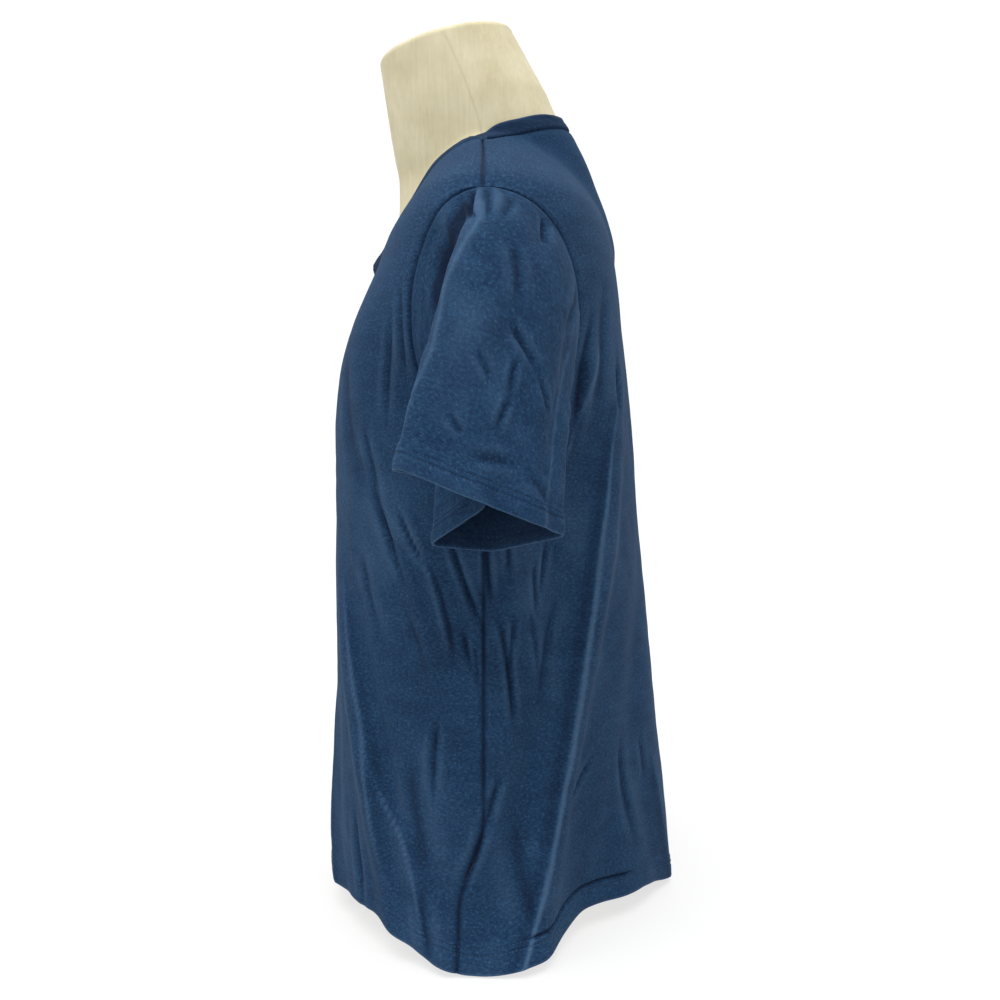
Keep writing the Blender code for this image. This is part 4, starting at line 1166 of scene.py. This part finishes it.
def sleeve(name, side, material):
    """A sleeve: its form, creases, rumple, seam and hem. The right one is made on the left and mirrored."""
    turns, down = sleeve_grid()
    outer = sleeve_form(turns, down)
    around, along = turns * SLEEVE_ROUND, down * SLEEVE_DROP
    folds, painted_light = crease_pattern(around, along, sleeve_lines(side))
    painted_light += sleeve_edge_painted_light(turns, down)
    closes = smooth(turns, 0.0, SLEEVE_CLOSES) * (1.0 - smooth(turns, 1.0 - SLEEVE_CLOSES, 1.0))
    away = SLEEVE_CUT_AT[side]
    rumple = rumpled(around + away, along + away, SLEEVE_RUMPLES)
    rumple *= closes * smooth(down, 0.0, SLEEVE_RUMPLE_FROM)
    folds += rumple
    # rumple hills get painted highlight, and its hollows painted shade
    painted_light += rumple / RUMPLE_SHADING
    to_hem = (1.0 - down) * SLEEVE_DROP
    hem = hem_relief(to_hem) * smooth(down, *SLEEVE_HEM_OVER)
    cap = (seam_relief(along) + SEAM_SINK) * smooth(down, 0.0, SLEEVE_CAP_FROM)
    outer = outer + (folds + hem + cap)[..., None] * outward_of(outer)
    outer = clear_of_form(outer, CLEAR + WALL)
    inner = clear_of_form(outer - (WALL + np.maximum(hem, 0.0))[..., None] * outward_of(outer), CLEAR)
    if side == RIGHT:
        outer, inner = outer * (-1, 1, 1), inner * (-1, 1, 1)
    uv = np.stack([around[::-1].ravel(), 1.0 - along[::-1].ravel()], axis=-1)
    marks_and_painted_light = marks_and_painted_light_of(painted_light, to_hem, along)[::-1].ravel()
    stitches = [outer[np.isclose(to_hem[:, 0], row)][0] for row in STITCH_HEIGHTS]
    # rows run upwards and to the right for grid_quads
    outer, inner = outer[::-1].reshape(-1, 3), inner[::-1].reshape(-1, 3)
    quads = grid_quads(*down.shape)
    if side == RIGHT:
        quads = quads[:, ::-1]
    return cloth_wall(name, outer, inner, quads, uv, marks_and_painted_light, material, row_ends(*down.shape)), stitches


def neck_top_ring(angle, inset, sink):
    """A ring of the neck's tilted top face, moved in from its edge and down."""
    x = (NECK_TOP_HALF_WIDTH - inset) * np.cos(angle)
    across = (NECK_TOP_HALF_DEPTH - inset) * np.sin(angle)
    lean = across * math.sin(NECK_TOP_TILT) - sink * math.cos(NECK_TOP_TILT)
    y = NECK_TOP_Y + across * math.cos(NECK_TOP_TILT) + sink * math.sin(NECK_TOP_TILT)
    return np.stack([x, y, NECK_TOP + lean], axis=-1)


def dress_form(material):
    """Torso and neck in one cloth-covered body, cut flat at the hips."""
    angle = np.linspace(0.0, 2 * math.pi, FORM_COLUMNS + 1)
    angle = angle - FORM_CLOSER * np.sin(2 * angle)
    heights = [0.0]
    for low, high, rows in FORM_ROWS:
        heights += even_steps(low, high, rows)
    rings = [form_surface(angle, np.full_like(angle, height)) for height in heights]
    shaft, edge = rings[-1], neck_top_ring(angle, 0.0, NECK_EDGE)
    for share in even_steps(0.0, 1.0, NECK_ROWS):
        rings.append(shaft + (edge - shaft) * share)
    for bend in even_steps(0.0, math.pi / 2, NECK_EDGE_ROWS):
        inset, sink = NECK_EDGE * (1 - math.cos(bend)), NECK_EDGE * (1 - math.sin(bend))
        rings.append(neck_top_ring(angle, inset, sink))
    for share in even_steps(NECK_EDGE / NECK_TOP_HALF_WIDTH, 1.0, NECK_TOP_ROWS):
        rings.append(neck_top_ring(angle, NECK_TOP_HALF_WIDTH * share, -NECK_TOP_DOME * share))
    points = np.concatenate(rings)
    # the cover is sewn up both sides
    around = np.tile(angle, len(rings))
    off = np.abs(np.sin(around)) * np.hypot(points[:, 0], points[:, 1] - NECK_TOP_Y)
    seam = FORM_SEAM * bell(off, FORM_SEAM_WIDTH) * (points[:, 2] < NECK_TOP - NECK_EDGE)
    points[:, 0] -= np.sign(points[:, 0]) * seam
    quads = [tuple(quad) for quad in grid_quads(len(rings), len(angle)).tolist()]
    quads.append(tuple(range(FORM_COLUMNS))[::-1])
    last = len(points) - len(angle)
    quads.append(tuple(range(last, last + FORM_COLUMNS)))
    uv = np.stack([around * COVER_ROUND, points[:, 2]], axis=-1)
    return make_piece("form", points, quads, uv, -seam / FORM_SEAM, material)


# ---------------------------------------------------------------- materials

MM = 0.001

# Patterns of the jersey, as one bump's millimetres across and up the knit
Pattern = namedtuple("Pattern", "across up detail roughness")
JERSEY_PATTERNS = {
    # flecks of a few yarns, on two courses of 1 mm
    "flecks": Pattern(3.2, 2.0, 4.0, 0.85),
    # cloudy patches where the dye mix runs lighter
    "clouds": Pattern(30.0, 12.0, 4.0, 0.6),
    # single slubs of undyed and of dark yarn
    "slubs": Pattern(2.2, 1.7, 1.0, 0.5),
    # wales drawn at twice the real spacing, so that they show at this distance
    "wales": Pattern(1.2, 1.6, 2.0, 0.6),
}
FOLD_SHADE = "#7c8aa0"  # painted shade: what the dye is multiplied by deep in a fold, at a seam, in the hem's groove and on the inside
CANVAS_SLUB = (2.5, 2.5, 50.0)  # millimetres
CANVAS_YARN = 1.0
THREAD_TWIST = 2.0
MIXED = {"data_type": "RGBA", "blend_type": "MIX"}
MULTIPLIED = {"data_type": "RGBA", "blend_type": "MULTIPLY"}


def linear(hex_colour):
    """A linear RGBA colour from an sRGB hex value."""
    parts = [int(hex_colour[i : i + 2], 16) / 255 for i in (1, 3, 5)]
    return tuple(c / 12.92 if c <= 0.04045 else ((c + 0.055) / 1.055) ** 2.4 for c in parts) + (1.0,)


def node(tree, kind, settings=None, **links):
    """Adds a node. settings are its own properties. links fill its inputs with a value or with another
    node's output, by name with spaces as _, or as _ and a number where several have one name."""
    made = tree.nodes.new(kind)
    for name, value in (settings or {}).items():
        setattr(made, name, value)
    for name, value in links.items():
        socket = made.inputs[int(name[1:])] if name[1:].isdigit() else made.inputs[name.replace("_", " ")]
        if isinstance(value, bpy.types.NodeSocket):
            tree.links.new(value, socket)
        else:
            socket.default_value = value
    return made


def blank_material(name):
    """A material with no nodes yet, and its tree."""
    material = bpy.data.materials.new(name)
    material.use_nodes = True
    material.node_tree.nodes.clear()
    return material, material.node_tree


def set_stops(ramp, first, last, between=()):
    """Sets the stops of a colour ramp, each a place and an sRGB hex colour."""
    stops = ramp.color_ramp.elements
    for stop, (place, colour) in zip(stops, (first, last)):
        stop.position, stop.color = place, linear(colour)
    for place, colour in between:
        stops.new(place).color = linear(colour)


def heather_jersey(name, dark, mid, light, sheen_colour):
    """Heathered single jersey: yarn spun from pale and dark dyed cotton, so the face shows short pale
    and dark flecks along its courses, a matte nap that catches light at the edges, and fine wales."""
    material, tree = blank_material(name)
    uv = node(tree, "ShaderNodeUVMap", {"uv_map": "knit"}).outputs["UV"]
    patterns = {}
    for name_of, pattern in JERSEY_PATTERNS.items():
        bumps = (1 / (pattern.across * MM), 1 / (pattern.up * MM), 1.0)
        at = node(tree, "ShaderNodeMapping", None, Vector=uv, Scale=bumps)
        noise = node(
            tree, "ShaderNodeTexNoise", {"noise_dimensions": "2D"}, Vector=at.outputs["Vector"],
            Scale=1.0, Detail=pattern.detail, Roughness=pattern.roughness,
        )
        patterns[name_of] = noise.outputs["Fac"]
    flecked = node(tree, "ShaderNodeMath", {"operation": "MULTIPLY"}, _0=patterns["flecks"], _1=0.95)
    tone = node(
        tree, "ShaderNodeMath", {"operation": "MULTIPLY_ADD"},
        _0=patterns["clouds"], _1=0.25, _2=flecked.outputs[0],
    )
    dyed = node(tree, "ShaderNodeValToRGB", None, Fac=tone.outputs[0])
    set_stops(dyed, (0.42, dark), (0.78, light), [(0.60, mid)])
    pale_slub = node(
        tree, "ShaderNodeMapRange", None, Value=patterns["slubs"],
        From_Min=0.62, From_Max=0.80, To_Min=0.0, To_Max=0.20,
    )
    dark_slub = node(
        tree, "ShaderNodeMapRange", None, Value=patterns["slubs"],
        From_Min=0.38, From_Max=0.22, To_Min=0.0, To_Max=0.45,
    )
    marks_and_painted_light = node(tree, "ShaderNodeAttribute", {"attribute_name": "marks_and_painted_light"}).outputs["Fac"]
    # painted highlight on crests, crease lips, rumple hills and the sleeves' edges, with wear at the hems'
    # and the band's edges, mixed in paler
    worn_and_highlighted = node(
        tree, "ShaderNodeMapRange", None, Value=marks_and_painted_light,
        From_Min=0.0, From_Max=1.2, To_Min=0.0, To_Max=0.36,
    )
    # painted shade in creases, beside crests, in rumple hollows, at seams, in the hem's groove and on the
    # inside, multiplied in darker
    sunk = node(
        tree, "ShaderNodeMapRange", None, Value=marks_and_painted_light,
        From_Min=0.0, From_Max=-1.2, To_Min=0.0, To_Max=0.90,
    )
    face = dyed.outputs["Color"]
    for settings, factor, colour in (
        (MIXED, pale_slub, sheen_colour),
        (MIXED, dark_slub, dark),
        (MIXED, worn_and_highlighted, sheen_colour),
        (MULTIPLIED, sunk, FOLD_SHADE),
    ):
        mix = node(
            tree, "ShaderNodeMix", settings, Factor=factor.outputs[0], _6=face, _7=linear(colour)
        )
        face = mix.outputs[2]
    bump = node(
        tree, "ShaderNodeBump", None, Strength=0.22, Distance=0.5 * MM, Height=patterns["wales"]
    )
    shader = node(
        tree, "ShaderNodeBsdfPrincipled", None, Base_Color=face, Roughness=0.92, IOR=1.45,
        Sheen_Weight=0.12, Sheen_Roughness=0.40, Sheen_Tint=linear(sheen_colour),
        Specular_IOR_Level=0.25, Normal=bump.outputs["Normal"],
    )
    node(tree, "ShaderNodeOutputMaterial", None, Surface=shader.outputs["BSDF"])
    return material


def form_canvas():
    """Plain-woven cotton canvas over foam: cream, matte, with thicker yarns that run up and down."""
    material, tree = blank_material("cotton_canvas")
    at = node(tree, "ShaderNodeTexCoord").outputs["Object"]
    bumps = tuple(1 / (size * MM) for size in CANVAS_SLUB)
    slub_at = node(tree, "ShaderNodeMapping", None, Vector=at, Scale=bumps)
    slubs = node(
        tree, "ShaderNodeTexNoise", None, Vector=slub_at.outputs[0], Scale=1.0, Detail=3.0, Roughness=0.6
    )
    cloud = node(tree, "ShaderNodeTexNoise", None, Vector=at, Scale=28.0, Detail=4.0, Roughness=0.6)
    slubbed = node(tree, "ShaderNodeMath", {"operation": "MULTIPLY"}, _0=slubs.outputs["Fac"], _1=0.3)
    tone = node(
        tree, "ShaderNodeMath", {"operation": "MULTIPLY_ADD"},
        _0=cloud.outputs["Fac"], _1=0.6, _2=slubbed.outputs[0],
    )
    cotton = node(tree, "ShaderNodeValToRGB", None, Fac=tone.outputs[0])
    set_stops(cotton, (0.30, "#d6cba5"), (0.62, "#ebe2c2"))
    stitched = node(tree, "ShaderNodeAttribute", {"attribute_name": "marks_and_painted_light"}).outputs["Fac"]
    seam = node(
        tree, "ShaderNodeMapRange", None, Value=stitched,
        From_Min=0.0, From_Max=-1.0, To_Min=0.0, To_Max=0.16,
    )
    cover = node(
        tree, "ShaderNodeMix", MULTIPLIED,
        Factor=seam.outputs[0], _6=cotton.outputs["Color"], _7=linear("#9c9272"),
    )
    weave = node(
        tree, "ShaderNodeTexNoise", None, Vector=at, Scale=1 / (CANVAS_YARN * MM), Detail=1.0, Roughness=0.5
    )
    bump = node(tree, "ShaderNodeBump", None, Strength=0.30, Distance=0.4 * MM, Height=weave.outputs["Fac"])
    shader = node(
        tree, "ShaderNodeBsdfPrincipled", None, Base_Color=cover.outputs[2], Roughness=0.85,
        Sheen_Weight=0.10, Specular_IOR_Level=0.3, Normal=bump.outputs["Normal"],
    )
    node(tree, "ShaderNodeOutputMaterial", None, Surface=shader.outputs["BSDF"])
    return material


def sewing_thread():
    """Spun polyester thread, a shade lighter than the cloth, with a faint gloss on its twist."""
    material, tree = blank_material("spun_polyester_thread")
    at = node(tree, "ShaderNodeTexCoord").outputs["Object"]
    twist = node(tree, "ShaderNodeTexNoise", None, Vector=at, Scale=1 / (THREAD_TWIST * MM), Detail=1.0)
    ply = node(tree, "ShaderNodeValToRGB", None, Fac=twist.outputs["Fac"])
    set_stops(ply, (0.35, "#1d3553"), (0.65, "#34537a"))
    shader = node(tree, "ShaderNodeBsdfPrincipled", None, Base_Color=ply.outputs["Color"], Roughness=0.6)
    node(tree, "ShaderNodeOutputMaterial", None, Surface=shader.outputs["BSDF"])
    return material


# ---------------------------------------------------------------- stitches


def stitch_tree():
    """Lays a stitch at each pitch along the edges of a mesh."""
    tree = bpy.data.node_groups.new("hem_stitches", "GeometryNodeTree")
    tree.interface.new_socket("Line", in_out="INPUT", socket_type="NodeSocketGeometry")
    for name in ("Pitch", "Length", "Radius"):
        tree.interface.new_socket(name, in_out="INPUT", socket_type="NodeSocketFloat")
    tree.interface.new_socket("Thread", in_out="INPUT", socket_type="NodeSocketMaterial")
    tree.interface.new_socket("Stitches", in_out="OUTPUT", socket_type="NodeSocketGeometry")
    given = node(tree, "NodeGroupInput").outputs
    path = node(tree, "GeometryNodeMeshToCurve", None, Mesh=given["Line"])
    places = node(
        tree, "GeometryNodeCurveToPoints", {"mode": "LENGTH"},
        Curve=path.outputs["Curve"], Length=given["Pitch"],
    )
    half = node(tree, "ShaderNodeMath", {"operation": "MULTIPLY"}, _0=given["Length"], _1=0.5)
    size = node(tree, "ShaderNodeCombineXYZ", None, X=half.outputs[0], Y=given["Radius"], Z=given["Radius"])
    loop = node(tree, "GeometryNodeMeshIcoSphere", None, Radius=1.0, Subdivisions=1)
    turned = node(
        tree, "FunctionNodeAlignRotationToVector", {"axis": "X"}, Vector=places.outputs["Tangent"]
    )
    laid = node(
        tree, "GeometryNodeInstanceOnPoints", None, Points=places.outputs["Points"],
        Instance=loop.outputs["Mesh"], Rotation=turned.outputs["Rotation"], Scale=size.outputs["Vector"],
    )
    real = node(tree, "GeometryNodeRealizeInstances", None, Geometry=laid.outputs["Instances"])
    sewn = node(
        tree, "GeometryNodeSetMaterial", None, Geometry=real.outputs["Geometry"], Material=given["Thread"]
    )
    node(tree, "NodeGroupOutput", None, Stitches=sewn.outputs["Geometry"])
    return tree


def stitches_along(name, lines, thread):
    """One mesh with a stitch at each pitch along every line of points."""
    path = bpy.data.meshes.new(name)
    edges, count = [], 0
    for line in lines:
        edges += [(count + i, count + i + 1) for i in range(len(line) - 1)]
        count += len(line)
    path.from_pydata(np.concatenate(lines).tolist(), edges, [])
    carrier = linked(name + "_line", path)
    tree = stitch_tree()
    sewing = carrier.modifiers.new("sewing", "NODES")
    sewing.node_group = tree
    given = {"Pitch": STITCH_PITCH, "Length": STITCH_LENGTH, "Radius": STITCH_RADIUS, "Thread": thread}
    for socket in tree.interface.items_tree:
        if socket.in_out == "INPUT" and socket.name in given:
            sewing[socket.identifier] = given[socket.name]
    carrier.update_tag()
    graph = bpy.context.evaluated_depsgraph_get()
    mesh = bpy.data.meshes.new_from_object(carrier.evaluated_get(graph), depsgraph=graph)
    carrier.modifiers.remove(sewing)
    bpy.data.objects.remove(carrier, do_unlink=True)
    mesh.shade_smooth()
    return linked(name, mesh)


# ---------------------------------------------------------------- studio

CAMERA_AT = (1.099, 0.0, 0.455)
CAMERA_PITCH = 0.0803  # radians below level
LENS = 41.87
SENSOR = 36.0
ROOM_RADIUS = 15.0
ROOM_LIGHT = 0.66
WHITE = "#ffffff"
PAPER = "#8c8c8c"
PAPER_GLOW = 0.70
BACKDROP_GLOW = 1.05
Light = namedtuple("Light", "name comes_from strength spread")
LIGHTS = (
    Light("overhead_light", (0.20, -0.10, 1.0), 2.50, 60.0),
    Light("front_light", (0.60, -1.0, 0.50), 0.22, 30.0),
)


def sun(name, comes_from, strength, spread):
    """A soft light from afar, even over the whole floor."""
    light = bpy.data.lights.new(name, "SUN")
    light.energy = strength
    light.angle = math.radians(spread)
    linked(name, light).rotation_euler = Vector(comes_from).to_track_quat("Z", "Y").to_euler()


def stage_piece(name, shape, material):
    """A piece of the studio, from a shape that is not needed afterwards."""
    mesh = bpy.data.meshes.new(name)
    shape.to_mesh(mesh)
    shape.free()
    mesh.materials.append(material)
    piece = linked(name, mesh)
    return piece


def studio():
    """The camera, the white floor, the backdrop round it and the lights."""
    scene = bpy.context.scene
    scene.view_settings.view_transform = "Standard"
    lens = bpy.data.cameras.new("camera")
    lens.lens = LENS
    lens.sensor_width = SENSOR
    lens.clip_end = 3 * ROOM_RADIUS
    camera = linked("camera", lens)
    camera.location = CAMERA_AT
    camera.rotation_euler = (math.pi / 2 - CAMERA_PITCH, 0.0, math.pi / 2)
    scene.camera = camera
    world = bpy.data.worlds.new("soft_room")
    world.use_nodes = True
    background = world.node_tree.nodes["Background"].inputs
    background["Color"].default_value = linear(WHITE)
    background["Strength"].default_value = ROOM_LIGHT
    scene.world = world

    # white paper on a light table, which keeps the shadows on it faint
    paper, tree = blank_material("white_paper")
    shader = node(
        tree, "ShaderNodeBsdfPrincipled", None, Base_Color=linear(PAPER), Roughness=0.9,
        Emission_Color=linear(WHITE), Emission_Strength=PAPER_GLOW,
    )
    node(tree, "ShaderNodeOutputMaterial", None, Surface=shader.outputs["BSDF"])
    floor = bmesh.new()
    bmesh.ops.create_circle(floor, cap_ends=True, segments=64, radius=ROOM_RADIUS)
    stage_piece("floor", floor, paper).visible_diffuse = False

    lit, tree = blank_material("lit_backdrop")
    glow = node(tree, "ShaderNodeEmission", None, Color=linear(WHITE), Strength=BACKDROP_GLOW)
    node(tree, "ShaderNodeOutputMaterial", None, Surface=glow.outputs["Emission"])
    dome = bmesh.new()
    bmesh.ops.create_icosphere(dome, subdivisions=4, radius=ROOM_RADIUS)
    backdrop = stage_piece("backdrop", dome, lit)
    backdrop.visible_diffuse = False
    backdrop.visible_glossy = False
    backdrop.visible_shadow = False
    backdrop.visible_transmission = False

    for light in LIGHTS:
        sun(*light)


def dress(piece, node_name):
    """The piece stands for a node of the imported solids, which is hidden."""
    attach(piece, "root")
    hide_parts(node_name)


jersey = heather_jersey("heather_jersey", "#0f2948", "#173757", "#24496c", "#5f80a3")
band_jersey = heather_jersey("band_jersey", "#0c203b", "#122b47", "#1c3a5b", "#4b6d8e")
canvas = form_canvas()

front, front_lines = front_panel(jersey)
back, back_lines = back_panel(jersey)
sleeve_left, left_lines = sleeve("sleeve_left_cloth", LEFT, jersey)
sleeve_right, right_lines = sleeve("sleeve_right_cloth", RIGHT, jersey)
band = neckband(band_jersey)
form = dress_form(canvas)
hem_lines = front_lines + back_lines + left_lines + right_lines
stitches = stitches_along("hem_stitches", hem_lines, sewing_thread())
front.name, back.name, band.name = "front_cloth", "back_cloth", "neckband_cloth"

dress(front, "front")
dress(back, "back")
dress(sleeve_left, "sleeve_left")
dress(sleeve_right, "sleeve_right")
dress(band, "neckband")
dress(form, "dress_form")

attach(stitches, "root")

studio()
